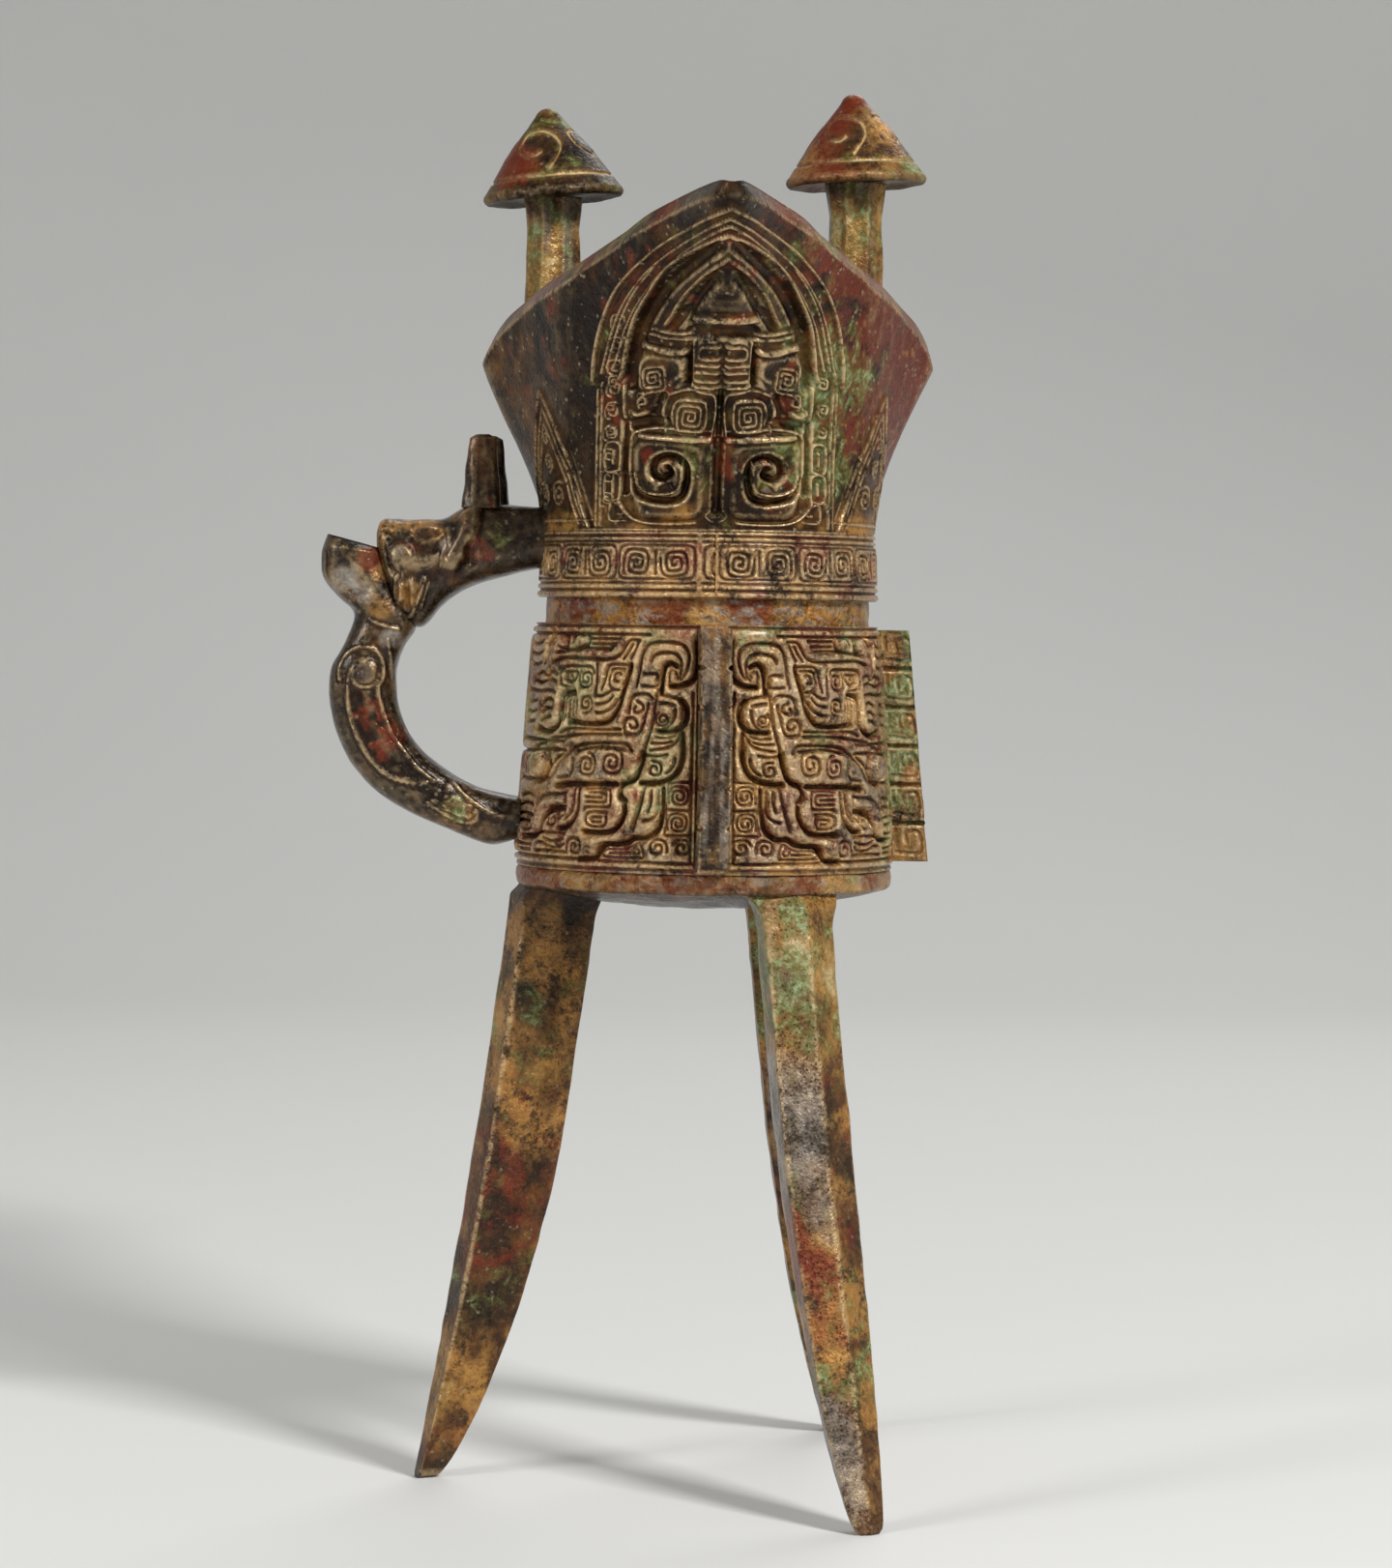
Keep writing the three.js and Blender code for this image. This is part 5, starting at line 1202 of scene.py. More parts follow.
def leg_colours(name, points, across, z):
    """Patches of patina down a leg, by height and by the facet they lie on, with uneven borders. The grey on
    the near facet of the tail's and the spout's legs is a painted reflection of a lamp.
    """
    wavy = z + 7 * unevenness(points, 9, 13) + 2.5 * unevenness(points, 3, 16)
    spotty = unevenness(points, 3.4, 14)

    def band(low, high):
        """1 between two heights, with borders that fade over 10 mm."""
        return ease(wavy, low - 5, low + 5) * ease(wavy, high + 5, high - 5)

    if name == "leg_handle_side":
        green = 0.3 * band(60, 86) * ease(spotty, 0.2, -0.5) + 0.5 * band(54, 61) * ease(across, 1, -3)
        ochre = 0.65 * band(56, 88) * ease(spotty, -0.6, 0.3)
        return {
            "red": 0.34 * band(34, 58) + 0.35 * band(-5, 12) + 0.3 * ease(spotty, 0.3, 0.8) * band(50, 80),
            "green": green + 0.45 * band(66, 72) * ease(spotty, -0.3, 0.3) + 0.3 * band(29, 36),
            "ochre": ochre + 0.8 * band(5, 25) * ease(spotty, -0.4, 0.3),
            "tone": 0.06 * band(56, 84) - 0.2 * band(26, 50) - 0.25 * ease(z, 84, 91),
        }
    near = ease(across, 0.6, -0.6)
    red = 0.9 * near * band(34, 44) + 0.45 * (1 - near) * (band(40, 50) + band(62, 70))
    green = 0.5 * near * band(72, 92) + 0.45 * band(17, 28) + 0.35 * (1 - near) * band(70, 90)
    ochre = (0.8 - 0.5 * near) * ease(spotty, -0.4, 0.4) * band(8, 84) + 0.6 * near * band(24, 34)
    return {
        "red": red + 0.3 * band(86, 92) * near,
        "green": green + 0.25 * band(28, 60) * ease(spotty, -0.4, 0.3),
        "ochre": ochre + 0.5 * ease(z, 88, 93),
        # grey: painted reflection of a lamp on the near facet
        "grey": near * (0.6 * band(48, 70) + 0.5 * band(0, 17) + 0.25 * band(80, 92)),
        "tone": 0.05 * near + 0.25 * ease(z, 72, 88) - 0.08 * near * band(48, 66),
    }


# Posts and caps


POST_Y, POST_RADIUS = 25, 4.9
CAP_RADIUS, CAP_HEIGHT, CAP_TIP_RADIUS = 11.4, 15, 2.2


def tilted(points, across, height, lean):
    """Points about a post's axis moved to its place, leaning towards the handle by an angle in degrees."""
    turn = math.radians(-lean)
    x, y, z = np.moveaxis(points, -1, 0)
    leaning_x = across + x * math.cos(turn) + z * math.sin(turn)
    leaning_z = SIDE_RIM + height - x * math.sin(turn) + z * math.cos(turn)
    return np.stack([leaning_x, POST_Y + y, leaning_z], -1)


def post_piece(name, across, height, lean, material):
    """Eight-sided post, its corners softened and its faces scraped up and down.

    The section is an octagon mixed with a circle. Its radius runs straight between a few heights, and at the
    top the axis bends a little towards the handle.
    """
    z = np.linspace(-4.5, height - 0.3, 110)
    radius = POST_RADIUS * np.interp(z / height, [-0.2, 0, 0.35, 0.8, 1], [0.86, 1, 0.96, 0.93, 1.05])
    count = 8 * 14
    half_side = math.pi / 8
    angle = np.arange(count) / count * 2 * math.pi + half_side
    sector = (angle + half_side) % (2 * half_side) - half_side
    outline = mix(math.cos(half_side) / np.cos(sector), 1.0, 0.25)
    x = radius[:, None] * outline * np.cos(angle)
    y = radius[:, None] * outline * np.sin(angle)
    points = np.stack([x, y, np.repeat(z[:, None], count, 1)], -1)
    scrape = streaked(points, 0.13, 1.1, 31) * 0.32 + unevenness(points, 2.5, 32) * 0.12
    points[..., :2] *= (1 + scrape / POST_RADIUS)[..., None]
    bend = ease(z / height, 0.8, 1.0)[:, None] * lean
    x = across + points[..., 0] - np.sin(np.radians(bend)) * 0.5
    points = np.stack([x, POST_Y + points[..., 1], SIDE_RIM + points[..., 2]], -1)
    crest, hollow = edge_masks(points, grid_normals(points, False, True), 2, 0.2)
    patchy, spotty = unevenness(points, 6, 33), unevenness(points, 3, 34)
    streaks = streaked(points, 0.14, 1.8, 35)
    right = ease(points[..., 0] - across, -1, 4)
    masks = {
        "crest": 0.4 * crest,
        "hollow": 0.8 * hollow,
        # grey streaks up the faces are painted highlights, fewer on the right
        "grey": 0.95 * ease(streaks, -0.2, 0.4) * (1 - 0.5 * right),
        "ochre": 0.35 * right * ease(patchy, 0.4, -0.3),
        "green": 0.5 * right * ease(spotty, 0.3, -0.4) + 0.3,
        "red": 0.6 * ease(spotty, 0.0, 0.5) * ease(points[..., 2], SIDE_RIM + 22, SIDE_RIM + 8),
        "tone": 0.2 * ease(streaks, -0.1, -0.6) - 0.35 * ease(z, height - 6, height - 2)[:, None],
    }
    piece(name, points, material, (name,), (False, True), masks)


def cap_piece(name, across, height, lean, turn_off, material):
    """Conical cap: profile turned about the post's axis, with an incised ring and four hook spirals.

    The profile is a flat underside, a rounded lip, a smooth curve up the flank and a circle's arc at the tip.
    The incised lines are read over the arc about the axis and the way up the flank.
    """
    columns = 260
    tip = [
        [CAP_TIP_RADIUS * math.sin(t), CAP_HEIGHT - CAP_TIP_RADIUS * (1 - math.cos(t)) - 0.8]
        for t in np.linspace(1.05, 0.08, 8)
    ]
    middle = [(CAP_RADIUS + tip[0][0]) / 2 + 0.1, (1.0 + tip[0][1]) / 2 + 0.1]
    under = [[5.3, 0.0], [7, 0.0], [8.6, -0.25], [10.3, -0.8]]
    lip = [[10.9, -0.72], [11.25, -0.35], [CAP_RADIUS, 0.1], [11.25, 0.6], [10.9, 1.0]]
    flank = smooth_rows([[12.4, -0.9], lip[-1], middle, tip[0], [0.6, 16]], np.linspace(1, 3, 60)[1:-1])
    profile = np.concatenate([dense(under, 0.5), lip, flank, tip])
    step = np.r_[0, np.cumsum(np.linalg.norm(np.diff(profile, axis=0), axis=1))]
    on_flank = profile[:, 1] > 0.9
    slant = np.where(on_flank, step - step[np.argmax(on_flank)], -5.0)[:, None]
    turn = np.linspace(0, 2 * math.pi, columns, endpoint=False)
    radius, z = profile[:, :1], np.repeat(profile[:, 1:], columns, 1)
    plate = Plate(-8, -1, 8, 14)
    hook = [0.8, 3.3, 2.5, 7.1, 1.7, 9.8, -0.6, 11.4, -3.2, 10.8, -4.4, 8.5, -4.0, 6.9, -2.1, 6.0, -0.6, 6.9]
    plate.stroke(hook, 0.4, -0.3, 0.18)
    sheet = plate.heights()
    cut = np.zeros((len(profile), columns))
    for k in range(4):
        away = (turn - turn_off - k * math.pi / 2 + math.pi) % (2 * math.pi) - math.pi
        arc = away[None, :] * radius
        inside = (np.abs(arc) < 7.5) & (slant > 0)
        hooked = plate.read(sheet, arc, np.repeat(slant, columns, 1))
        cut = np.where(inside, np.minimum(cut, hooked), cut)
    cut = cut - 0.26 * ease(np.abs(slant - 2.0), 0.4, 0.1)
    points = np.stack([radius * np.cos(turn), radius * np.sin(turn), z], -1)
    normals = grid_normals(points, False, True)
    flank_row = 40
    if normals[flank_row, 0] @ points[flank_row, 0] < 0:
        normals = -normals
    rough = 0.07 * unevenness(points, 1.8, 41 + int(across > 0)) + 0.12 * unevenness(points, 4, 43)
    points, crest, hollow = raised(points, normals, cut + rough * ease(radius, 0.5, 2), 2, 0.1)
    # under marks the cap's underside: painted shade, darkened through the hollow mask and the tone, with no
    # ridge colour or ochre there
    under = ease(z, 0.2, -0.3) * ease(radius, 11.2, 10.6)
    patchy = unevenness(points, 7.0, 44 + int(across > 0))
    masks = {"crest": 0.3 * crest * (1 - under), "hollow": np.clip(0.4 * hollow + under, 0, 1)}
    masks["ochre"] = 0.5 * ease(patchy, -0.1, -0.6) * (1 - under)
    x, spotty = points[..., 0], unevenness(points, 3.4, 46)
    if across > 0:
        masks["red"] = 0.6 * ease(x, 3, -6) + 0.5 * ease(z, 9, 12) + 0.2 * ease(spotty, 0.1, 0.6)
        masks["ochre"] = masks["ochre"] + 0.6 * ease(x, -1, 5) * ease(spotty, -0.5, 0.2)
        masks["green"] = 0.3 * ease(x, -2, 6) * ease(z, 6, 1) + 0.25 * ease(spotty, -0.1, -0.6)
        masks["tone"] = 0.1 * ease(x, -2, 6)
    else:
        masks["red"] = 0.6 * ease(np.hypot(x + 6.5, z - 5), 6.5, 2) + 0.25 * ease(spotty, 0.1, 0.7)
        masks["green"] = 0.25 * ease(spotty, 0.2, -0.4) + 0.2 * ease(z, 8, 12)
        masks["tone"] = -0.12 + 0 * z
    masks["tone"] = masks["tone"] + 1.0 * np.clip(-cut * 3.6, 0, 1) - 0.6 * under
    masks["hollow"] = np.maximum(masks["hollow"], 0.6 * ease(z, 1.0, 0.0) * ease(spotty, 0.2, -0.3))
    piece(name, tilted(points, across, height, lean), material, (name,), (False, True), masks)


# Flanges


def flange_piece(name, degrees, material):
    """Notched bar: a rectangle with soft corners carried up the belly, hooked lines cut into its sides.

    The back follows the belly's cone. The front stands out from it, evenly less with height.
    """
    bottom, top = BELLY_BOTTOM + 1.2, BELLY_TOP - 0.5
    z = np.linspace(bottom, top, 190)[:, None]
    back = belly_radius(z) - 1.0
    front = belly_radius(z) + mix(5.8, 4.8, (z - bottom) / (top - bottom))
    cells = 6
    pitch = (top - bottom) / cells
    notch = np.abs((z - bottom + pitch / 2) % pitch - pitch / 2)
    inner = (z > bottom + pitch / 2) & (z < top - pitch / 2)
    cut = 0.35 * ease(notch, 0.55, 0.2) * inner
    corners_x = np.concatenate([back, front - 0.35, front, front, front - 0.35, back], 1)
    corners_y = np.repeat([[2.6, 2.4, 2.15, -2.15, -2.4, -2.6]], len(z), 0)
    per_side = np.array([26, 4, 22, 4, 26, 8])
    front_column = 41
    station = np.concatenate([k + np.arange(count) / count for k, count in enumerate(per_side)])
    x, y = on_outline(corners_x, station), on_outline(corners_y, station)
    z = np.repeat(z, x.shape[1], 1)
    plate = Plate(-2, bottom - 1, 8, top + 1)
    for k in range(cells):
        low = bottom + k * pitch
        hook = [0.9, low + 1.5, 4.6, low + 1.5, 4.6, low + 4.6, 2.6, low + 4.6, 2.6, low + 3.0]
        plate.stroke(hook, 0.34, -0.45, 0.25)
        plate.stroke([0.9, low + 2.9, 0.9, low + 5.0], 0.34, -0.4, 0.2)
        if k:
            plate.stroke([0.2, low, 6.4, low], 0.5, -0.5, 0.3)
    out = x - belly_radius(z)
    groove = plate.read(plate.heights(), out, z) * (np.abs(y) > 2.2) * (out > 0.2)
    y = y - np.sign(y) * (cut - groove) * (np.abs(y) > 0.5)
    if name == "flange_tail":
        y = y + 0.35 * np.sin((z - bottom) / 12)
    points = turned(x, y, z, degrees)
    normals = grid_normals(points, False, True)
    if (normals * turned(x, 0 * x, 0 * x, degrees)).sum(-1)[:, front_column].mean() < 0:
        normals = -normals
    scrape = 0.12 * streaked(points, 0.1, 0.7, 51) + 0.08 * unevenness(points, 1.6, 52)
    points, crest, hollow = raised(points, normals, scrape * (out > 0.3), 2, 0.14)
    patchy = unevenness(points, 4.0, 53)
    masks = {"crest": 0.8 * crest, "hollow": (0.7 if name == "flange_tail" else 0.35) * hollow}
    if name == "flange_side":
        masks["green"] = 0.15 + 0.4 * ease(patchy, -0.3, 0.4)
        masks["tone"] = 0.05
        masks["red"] = 0.3 * ease(unevenness(points, 2.6, 54), 0.1, 0.6)
        masks["ochre"] = 0.45 * ease(patchy, 0.3, -0.2)
    if name == "flange_tail":
        streaks = streaked(points, 0.08, 0.8, 55)
        masks["grey"] = 0.4 * ease(streaks, -0.3, 0.4)
        masks["green"] = 0.25 * ease(patchy, 0.2, 0.6)
        masks["ochre"] = 0.2 * ease(patchy, -0.1, -0.5)
        masks["tone"] = -0.14 + 0.15 * ease(streaks, 0.0, 0.6)
    piece(name, points, material, (name,), (False, True), masks)


# Handle

# Outlines of the strap's side view: shares of the reach from the wall and of the rise between the joints
STRAP_OUTER = [
    [0, -0.07], [0.149, -0.095], [0.389, -0.032], [0.595, 0.032], [0.757, 0.107], [0.877, 0.204],
    [0.95, 0.304], [0.998, 0.415], [0.999, 0.522], [0.942, 0.624], [0.907, 0.719], [0.989, 0.78],
    [1.074, 0.848], [1.094, 0.927], [1.07, 1.005],
]
STRAP_INNER = [
    [0, 0.075], [0.193, 0.104], [0.343, 0.15], [0.476, 0.215], [0.568, 0.281], [0.625, 0.349], [0.651, 0.395],
    [0.665, 0.44], [0.673, 0.522], [0.646, 0.605], [0.598, 0.68], [0.655, 0.757], [0.73, 0.848],
    [0.77, 0.912], [0.79, 0.955],
]
HANDLE_LOWER, HANDLE_UPPER, HANDLE_REACH = 104.6, 148.7, 31.6
# The strap's lip is cut plane here, at the side of the part's box
LIP_LIMIT = -60.79
SWEEP_COLUMNS = 112
# Gold lines on the side of the strap, and the finer ones of its feather, seen square on
STRAP_RAISED = [
    [-56.3, 126, -56.3, 123, -55.8, 120, -54.7, 117, -53, 114.2, -51, 112, -48.7, 110.7, -46, 110.2, -43.8,
     110.2],
    [-51.5, 125.2, -51.4, 123.4, -50.5, 120.5, -49.3, 117.8, -47.6, 115.3, -45.5, 112.8, -43.8, 111.3, -42.6,
     110.5],
    [-49.2, 126, -49, 123.6, -48.5, 121.6, -47.6, 119.4, -46.2, 117, -44.5, 115, -42.5, 113.3, -41, 112,
     -40.2, 110.8, -38.3, 108.7, -36, 106.9, -34, 105.7, -31.8, 105],
    [-57.6, 126.2, -57.6, 128, -56.6, 130, -54.6, 131.3, -52.6, 131.1, -51.2, 129.8, -50.8, 128, -50.9, 126.2,
     -51.6, 125.2], [-56.2, 126, -56.2, 127.4, -55.3, 128.6, -54, 129.1, -52.9, 128.7],
    [-50.2, 132.4, -49.8, 130, -49.6, 127, -49.2, 126],
]
FEATHER = [
    [-43.6, 107.1, -41, 105.3, -38.8, 104.2, -36.8, 104, -35.8, 104.9, -36.2, 106, -37.6, 106.6],
    [-43, 107.4, -40.6, 106.1, -38.4, 105.1, -36.9, 104.9], [-42, 107.7, -40, 106.8, -38, 105.9],
    [-40.9, 107.9, -39.2, 107.3, -37.8, 106.6], [-39.8, 108, -38.6, 107.5],
]
# Outline of the open mouth on the head's side
MOUTH_CELL = [
    -49, 142.4, -46.5, 142.7, -44.7, 142.5, -44.8, 140.8, -45.3, 139.2, -46, 137.5, -46.6, 136.4, -47.8,
    135.9, -48.6, 137.4, -49, 140, -49, 142.4,
]
# The beast head's sections: share of its length, bottom and top from the upper joint, and share of its width
HEAD_STATIONS = [
    [-0.02, -4.8, 4.9, 0.8], [0.03, -4.8, 4.9, 0.8], [0.22, -6, 5.3, 0.88], [0.4, -7.5, 5.8, 1],
    [0.51, -8.9, 4.3, 1], [0.6, -10.8, 2.9, 0.96], [0.715, -14, 2.7, 0.92], [0.82, -13.4, 2.6, 0.92],
    [0.9, -10.6, 2.7, 0.88], [0.945, -7, 2.7, 0.82], [0.98, -4, 2.2, 0.72], [1, -1.4, 0.8, 0.5],
]


def oblong(count, power=0.7):
    """Unit outline of a rounded oblong, with its first point on the first axis."""
    turn = np.arange(count) / count * 2 * math.pi
    squared = lambda value: np.sign(value) * np.abs(value) ** power
    return squared(np.cos(turn)), squared(np.sin(turn))


def handle_place(shares):
    """Points of the handle's side view from shares of its reach and of the rise between its joints."""
    up = shares[..., 1]
    wall = mix(belly_radius(HANDLE_LOWER), BAND_RADII[1], up)
    return np.stack([-wall - shares[..., 0] * HANDLE_REACH, 0 * up, mix(HANDLE_LOWER, HANDLE_UPPER, up)], -1)


def side_plate(kind):
    """Ornament of the handle seen square on, the same on both sides."""
    plate = Plate(-64, 98, -25, 170)
    if kind == "strap":
        plate.strokes(STRAP_RAISED, 0.34, 0.42, 0.2)
        plate.strokes(FEATHER, 0.26, 0.3, 0.15)
        plate.stroke([-54.6, 124.8, -54.3, 121.4, -52.9, 117.6, -50.6, 114.4, -47.4, 112.2], 1.8, -0.1, 0.9)
        plate.boss(-53.8, 127.2, 2.5, 0.9)
        plate.stroke(spiral(-53.8, 127.0, 2.2, 0.9, 60, 2.0, 0.7), 0.3, -0.6, 0.25)
        plate.stroke([-60.3, 145.8, -60.3, 143.0, -59.4, 140.8], 0.4, 0.4, 0.25)
        plate.stroke([-59.4, 140.6, -57.0, 138.6, -54.6, 136.8], 0.4, 0.35, 0.3)
        plate.stroke([-57.4, 143.4, -54.4, 140.2], 2.6, -0.4, 0.9)
        plate.stroke([-52.8, 135.4, -50.6, 134.6, -48.6, 134.2], 0.4, 0.35, 0.25)
        return plate
    plate.stroke(MOUTH_CELL, 0.5, 0.55, 0.3)
    plate.stroke([-48.2, 141.0, -48.1, 138.8], 0.8, 0.7, 0.4)
    plate.stroke([-46.6, 141.6, -46.3, 140.2], 0.7, 0.5, 0.3)
    plate.stroke([-47.2, 140.6, -47.0, 137.6], 0.4, -0.6, 0.4)
    plate.stroke([-45.2, 149.1, -44.2, 149.4, -43.1, 149.2], 1.2, 0.85, 0.4)
    plate.stroke([-46.5, 148.9, -45.0, 147.9, -43.2, 148.0, -41.9, 149.0], 0.35, 0.4, 0.25)
    plate.stroke([-46.6, 149.4, -45.4, 148.4, -43.2, 148.4, -42.2, 149.2], 0.3, -0.5, 0.2)
    plate.boss(-48.2, 145.4, 2.1, 0.8)
    plate.stroke([-46.8, 144.8, -44.8, 144.6, -43.2, 145.4], 1.6, 0.5, 0.7)
    plate.stroke([-51.0, 147.2, -50.3, 145.0, -49.6, 143.4, -47.6, 142.9, -44.4, 143.0], 0.4, -0.7, 0.35)
    plate.stroke([-51.2, 149.6, -50.4, 149.7, -50.3, 148.8], 0.35, 0.4, 0.2)
    plate.stroke([-50.7, 149.2, -50.0, 149.2], 0.5, -0.6, 0.25)
    plate.stroke([-37.4, 154.0, -37.7, 150.5, -38.9, 147.6, -40.4, 144.8], 2.6, 1.0, 0.9)
    plate.stroke([-40.9, 149.6, -40.6, 147.4], 0.8, 0.5, 0.4)
    plate.stroke([-37.6, 146.8, -37.3, 145.0], 1.2, -0.8, 0.8)
    plate.stroke([-44.0, 141.0, -45.0, 137.8], 0.4, 0.4, 0.3)
    return plate


def swept_handle(centre, first, first_half, second_half, kind):
    """Oblong sections set across a line, with the side ornament standing out of the two flat sides."""
    a, b = oblong(SWEEP_COLUMNS)
    points = centre[:, None] + first[:, None] * (a * first_half[:, None])[..., None]
    points[..., 1] += b * second_half[:, None]
    normals = grid_normals(points, False, True)
    middle = len(normals) // 2
    if normals[middle, 0] @ (points[middle, 0] - centre[middle]) < 0:
        normals = -normals
    plate = side_plate(kind)
    facing = ease(np.abs(normals[..., 1]), 0.35, 0.8)
    lift = plate.read(plate.heights(), points[..., 0], points[..., 2]) * facing
    rough = 0.09 * unevenness(points, 3.4, 61) + 0.05 * unevenness(points, 1.2, 62)
    points, crest, hollow = raised(points, normals, lift + rough, 2, 0.13)
    return points, {"crest": crest, "hollow": hollow}


def spots_on(x, z):
    """Function that gives a soft round spot about a place of the side view."""

    def spot(place_x, place_z, wide):
        return ease(np.hypot(x - place_x, z - place_z), wide, wide * 0.45)

    return spot


def strap_piece(material):
    """Strap of the handle, a C with a flared lip.

    Its sections are oblongs that span the way from a smooth curve through the outer outline to one through
    the inner outline. Their width shrinks by smooth steps at both ends.
    """
    station = np.linspace(0, 14, 300)
    outer = handle_place(smooth_rows(STRAP_OUTER, station))
    inner = handle_place(smooth_rows(STRAP_INNER, station))
    centre, across = (outer + inner) / 2, inner - outer
    half = np.linalg.norm(across, axis=1) / 2
    first = across / (2 * half[:, None])
    width = 5.5 * (1 - 0.25 * ease(station, 13.4, 14.0)) * (1 - 0.12 * ease(station, 2, 0))
    points, masks = swept_handle(centre, first, half, width, "strap")
    points[..., 0] = np.maximum(points[..., 0], LIP_LIMIT)
    x, z = points[..., 0], points[..., 2]
    spotty, speckled = unevenness(points, 2.6, 63), unevenness(points, 1.1, 65)
    spot = spots_on(x, z)
    field = np.maximum(spot(-53.4, 121.5, 5), spot(-51.0, 115.5, 4.6))
    disc = spot(-53.8, 127.2, 2.4)
    lip_low, lip_high = spot(-54.2, 139.6, 2.4), spot(-57.0, 142.0, 2.8)
    disc_ring = ease(np.abs(np.hypot(x + 53.8, z - 127.2) - 1.5), 1.0, 0.2)
    red = 0.55 * field * ease(speckled, -0.4, 0.5) + 0.9 * spot(-53.2, 145.0, 3.0)
    green = 0.5 * spot(-39.4, 106.0, 3.6) + 0.25 * spot(-50.0, 143.5, 2.5)
    ochre = 0.5 * spot(-51.4, 137.6, 2.6) + 0.5 * spot(-51.2, 142.6, 2.2)
    # grey and the tone on the lip's two spots paint a sheen on its facets; grey also lightens a spot further
    # down
    grey = (lip_high + lip_low + 0.8 * spot(-49.6, 132.6, 2.2)) * ease(spotty, -0.7, 0.0)
    masks = {
        "crest": 0.8 * masks["crest"] * (1 - 0.8 * disc) * (1 - 0.8 * spot(-52.6, 118.6, 3.2)),
        "hollow": np.maximum(masks["hollow"], 0.7 * disc_ring),
        "red": red + 0.4 * spot(-48.6, 117.4, 3) - 0.1,
        "green": green + 0.15 * ease(spotty, 0.2, 0.7),
        "ochre": ochre + 0.5 * spot(-38.6, 105.6, 3.4),
        "grey": grey + 0.25 * disc - 0.4 * field,
        "tone": 0.6 * lip_high + 0.6 * lip_low + 0.15 * spot(-51.4, 137.6, 3.0),
    }
    piece("handle_strap", points, material, ("handle_strap",), (False, True), masks)


def head_piece(material):
    """Beast head: oblong sections along a level line from the wall to the muzzle.

    Their bottom, top and width are smooth curves through the head's stations.
    """
    stations = np.array(HEAD_STATIONS)
    rows = smooth_rows(stations, np.concatenate([np.linspace(0, 10, 230), np.linspace(10, 11, 24)[1:]]))
    x = -BAND_RADII[1] - rows[:, 0] * 26.1
    centre = np.stack([x, 0 * x, HANDLE_UPPER + (rows[:, 1] + rows[:, 2]) / 2], -1)
    first = np.repeat(np.array([[0.0, 0.0, 1.0]]), len(x), 0)
    points, masks = swept_handle(centre, first, (rows[:, 2] - rows[:, 1]) / 2, rows[:, 3] * 6.3, "head")
    x, z = points[..., 0], points[..., 2]
    spotty = unevenness(points, 2.4, 64)
    spot = spots_on(x, z)
    eye = np.hypot((x + 44.2) / 1.7, (z - 149.2) / 0.8)
    pupil = ease(eye, 1.1, 0.8)
    snout = ease(x, -41, -44)
    ochre = 0.75 * ease(z, 148.4, 149.6) * snout * ease(spotty, -0.6, 0.0)
    ochre = ochre + 0.6 * spot(-47.0, 139.6, 2.8) + 0.5 * ease(x, -50.4, -51.4)
    ochre = ochre + 0.4 * spot(-39.5, 152.5, 2.2)
    red = 0.4 * spot(-36.0, 146.6, 3.2) + 0.35 * spot(-46.0, 147.0, 2.4)
    masks = {
        "crest": 0.45 * masks["crest"] * (1 - pupil),
        "hollow": np.maximum(0.9 * masks["hollow"], 0.9 * pupil),
        "ochre": ochre * (1 - pupil) + 0.6 * ease(np.abs(eye - 1.4), 0.3, 0.1),
        "red": red + 0.3 * spot(-40.0, 143.0, 3.0),
        "green": 0.45 * spot(-33.0, 149.5, 3.4) + 0.15 * ease(spotty, 0.3, 0.8),
        # grey and tone paint a glint behind the eye, grey a sheen on the cheek's boss, and the tone on the
        # snout's top is painted light from above
        "grey": 0.7 * spot(-41.4, 147.4, 1.3) + 0.3 * spot(-48.6, 146.2, 1.4),
        "tone": 0.2 * ease(z, 148.0, 150.0) * snout + 0.5 * spot(-41.4, 147.4, 1.3),
    }
    piece("beast_head", points, material, ("beast_head",), (False, True), masks)


def horn_piece(name, side, shift, material):
    """Horn: oblong sections that shrink upwards from the foot, with a rounded top."""
    columns = 64
    rounding = np.sin(np.linspace(0, math.pi / 2, 12))[1:]
    share = np.concatenate([np.linspace(0, 0.94, 70), 0.94 + 0.06 * rounding])
    size = np.interp(share, [0, 0.3, 0.8, 0.95, 1], [1.0, 0.86, 0.7, 0.62, 0.3])[:, None]
    a, b = oblong(columns, 0.8)
    bottom, top = HANDLE_UPPER + 4.6, HANDLE_UPPER + 16.1
    x = -BAND_RADII[1] - 9.7 + shift + a * 3.2 * size
    y = side * 3.4 + b * 2.2 * size
    z = np.repeat(mix(bottom, top, share)[:, None], columns, 1)
    points = np.stack([x, y, z], -1)
    scrape = 0.1 * streaked(points, 0.2, 0.8, 71) + 0.12 * unevenness(points, 2.4, 72)
    points, crest, hollow = raised(points, grid_normals(points, False, True), scrape, 2, 0.1)
    masks = {"crest": 0.4 * crest, "hollow": hollow, "red": 0.2 * ease(z, top - 2, bottom)}
    piece(name, points, material, (name,), (False, True), masks)


# Scene


PAPER_COLOUR, PAPER_ROUGHNESS = (0.74, 0.74, 0.72), 0.9
SKY_STRENGTH = 0.28
# Lamps: place in metres, side of the square in metres and watts; all are aimed at one place
LAMPS = {
    "key": ((0.55, -0.75, 0.85), 0.2, 11.0),
    "side": ((-0.8, -0.6, 0.5), 0.26, 3.6),
    "back": ((0.3, 0.8, 0.9), 0.6, 3.8),
}
LAMP_AIM = (0, 0, 0.12)
# The photograph's camera: place about the cup's axis in millimetres, heading, pitch and roll in degrees
VIEW_PLACE, VIEW_TURNS = (-29.70, -739.40, 136.0), (-2.191, 88.015, 0.86)
VIEW_LENS, VIEW_SENSOR = 107.58, 36


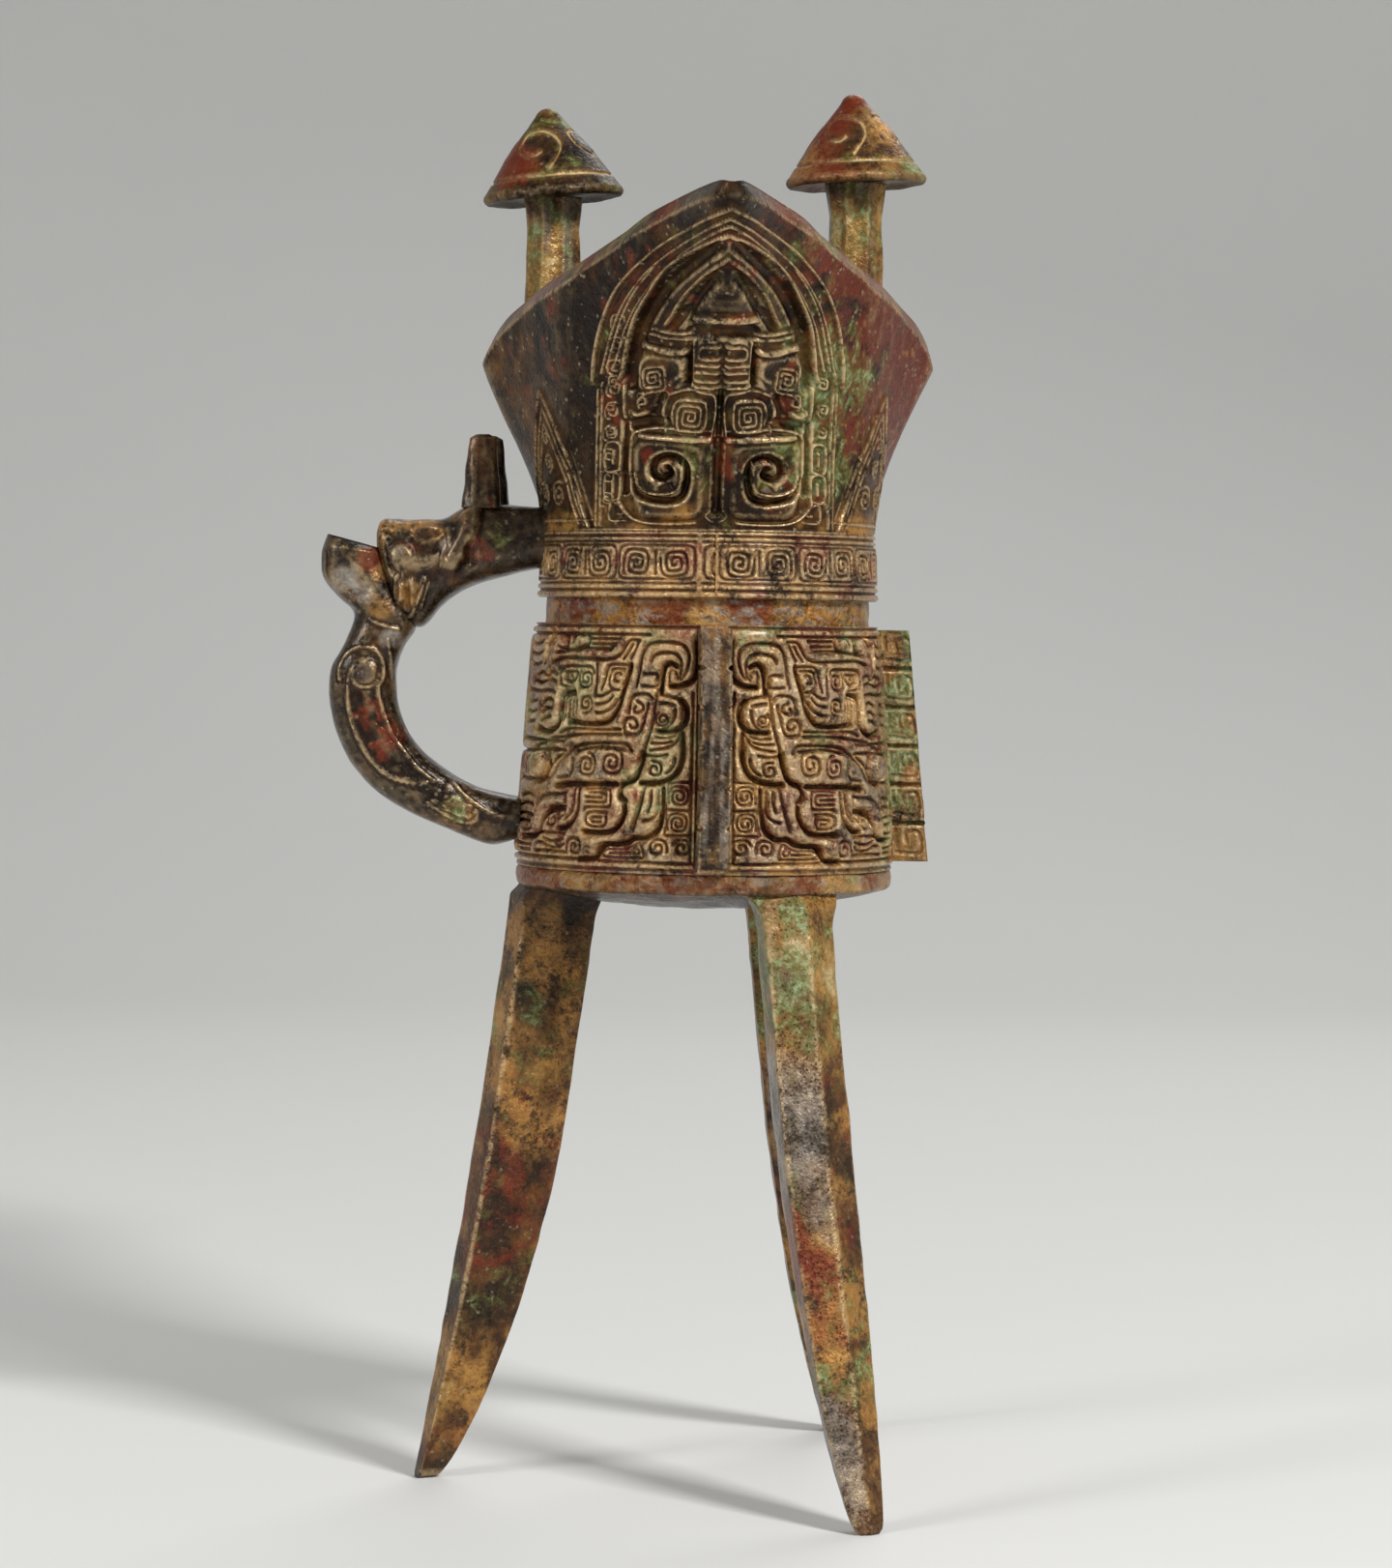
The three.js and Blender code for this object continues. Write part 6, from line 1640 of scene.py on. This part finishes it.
def plain(name, colour, roughness):
    """Matt studio paper, a little uneven in tone."""
    material = bpy.data.materials.new(name)
    material.use_nodes = True
    n = Nodes(material.node_tree)
    shader = material.node_tree.nodes["Principled BSDF"]
    place = n.add("ShaderNodeTexCoord").outputs["Object"]
    tone = n.blend(n.noise(place, 6.0, 3), colour, tuple(0.97 * c for c in colour))
    material.node_tree.links.new(tone, shader.inputs["Base Color"])
    shader.inputs["Roughness"].default_value = roughness
    shader.inputs["Specular IOR Level"].default_value = 0.2
    return material


def studio():
    """Pale floor that curves up into a backdrop by a quarter circle, soft lamps and an even sky."""
    bend = 0.6
    turn = np.linspace(0, math.pi / 2, 16)
    path = np.concatenate([
        np.stack([np.linspace(-1.8, 0.9, 12), np.zeros(12)], -1),
        np.stack([0.9 + bend * np.sin(turn), bend - bend * np.cos(turn)], -1)[1:],
        np.array([[1.5, 1.2], [1.5, 2.4]]),
    ])
    columns = 10
    across = np.repeat(np.linspace(-2.2, 2.2, columns)[None], len(path), 0)
    along, up = np.repeat(path[:, :1], columns, 1), np.repeat(path[:, 1:], columns, 1)
    vertices = np.stack([across, along, up], -1)
    index = np.arange(len(path) * columns).reshape(len(path), columns)
    faces = np.stack([index[:-1, :-1], index[:-1, 1:], index[1:, 1:], index[1:, :-1]], -1).reshape(-1, 4)
    mesh = bpy.data.meshes.new("backdrop")
    mesh.from_pydata(vertices.reshape(-1, 3).tolist(), [], faces.tolist())
    mesh.polygons.foreach_set("use_smooth", [True] * len(mesh.polygons))
    mesh.materials.append(plain("studio_paper", PAPER_COLOUR, PAPER_ROUGHNESS))
    backdrop = bpy.data.objects.new("backdrop", mesh)
    bpy.context.scene.collection.objects.link(backdrop)
    world = bpy.data.worlds.new("sky")
    bpy.context.scene.world = world
    world.use_nodes = True
    world.node_tree.nodes["Background"].inputs["Color"].default_value = (1, 1, 1, 1)
    world.node_tree.nodes["Background"].inputs["Strength"].default_value = SKY_STRENGTH
    for name, (place, size, power) in LAMPS.items():
        light = bpy.data.lights.new(name, "AREA")
        light.shape = "SQUARE"
        light.size = size
        light.energy = power
        lamp = bpy.data.objects.new(name, light)
        lamp.location = place
        lamp.rotation_mode = "QUATERNION"
        lamp.rotation_quaternion = (Vector(LAMP_AIM) - Vector(place)).to_track_quat("-Z", "Y")
        bpy.context.scene.collection.objects.link(lamp)


def camera():
    """The photograph's view: a little left of the tail, level with the neck, nearly upright."""
    data = bpy.data.cameras.new("view")
    data.sensor_width = VIEW_SENSOR
    data.lens = VIEW_LENS
    data.clip_start, data.clip_end = 0.05, 20
    seen_from = bpy.data.objects.new("view", data)
    heading, pitch, roll = (math.radians(angle) for angle in VIEW_TURNS)
    place = Matrix.Translation((np.array(VIEW_PLACE) + PLACE) / 1000)
    turns = Matrix.Rotation(heading, 4, "Z") @ Matrix.Rotation(pitch, 4, "X")
    seen_from.matrix_world = place @ turns @ Matrix.Rotation(roll, 4, "Z")
    bpy.context.scene.collection.objects.link(seen_from)
    bpy.context.scene.camera = seen_from


camera()
studio()

vessel_bronze = bronze(
    "vessel_bronze", bump=0.5, coat=0.14, tone=0.42, red=0.36, green=0.26, worn=0.76, gloss=0.9, grime=0.92
)
neck_bronze = bronze(
    "neck_bronze", bump=0.18, specular=0.14, coat=0.06,
    tone=0.06, red=0.3, green=0.27, worn=0.75, gloss=0.6, fleck=0.7,
)
liner_bronze = bronze(
    "liner_bronze", bump=0.8, specular=0.16, coat=0.0, tone=0.54, red=0.32, green=0.2, worn=0.5, gloss=1.0
)
leg_bronze = bronze("leg_bronze", bump=0.4, tone=0.42, red=0.22, green=0.27, worn=0.7, gloss=0.5, pitted=0.8)
post_bronze = bronze("post_bronze", tone=0.52, red=0.25, green=0.3, worn=0.7, gloss=0.65)
cap_bronze = bronze(
    "cap_bronze", bump=0.26, specular=0.12, coat=0.04, tone=0.3, red=0.28, green=0.25, worn=0.6
)
flange_bronze = bronze("flange_bronze", tone=0.24, red=0.2, green=0.3, worn=0.7)
handle_bronze = bronze(
    "handle_bronze", bump=0.16, coat=0.18, tone=0.04, red=0.25, green=0.18, worn=1.0, gloss=0.8
)

# Splay in millimetres and turn about the cup's axis in degrees
LEGS = {"leg_handle_side": (14.2, 180), "leg_tail_side": (21.6, -61.4), "leg_spout_side": (24.6, 60.7)}
# Place across, height over the side's rim, lean in degrees and turn of the cap's hooks
POSTS = {"handle_side": (-25, 26, 5.5, -1.7), "far_side": (24.2, 29.2, 3, -1.75)}
FLANGES = {"flange_tail": -90, "flange_side": 0, "flange_spout": 90}

belly_pieces(vessel_bronze)
band_pieces(vessel_bronze)
liner_piece(liner_bronze)
mouth_pieces(neck_bronze)
for leg_name, (leg_splay, leg_turn) in LEGS.items():
    leg_piece(leg_name, leg_splay, leg_turn, leg_bronze)
for post, (post_across, post_height, post_lean, hook_turn) in POSTS.items():
    post_piece("post_" + post, post_across, post_height, post_lean, post_bronze)
    cap_piece("cap_" + post, post_across, post_height, post_lean, hook_turn, cap_bronze)
for flange_name, flange_turn in FLANGES.items():
    flange_piece(flange_name, flange_turn, flange_bronze)
strap_piece(handle_bronze)
head_piece(handle_bronze)
horn_piece("beast_horn_tail_side", -1, 0, handle_bronze)
horn_piece("beast_horn_spout_side", 1, 1.2, handle_bronze)

bpy.context.scene.view_settings.view_transform = "Standard"
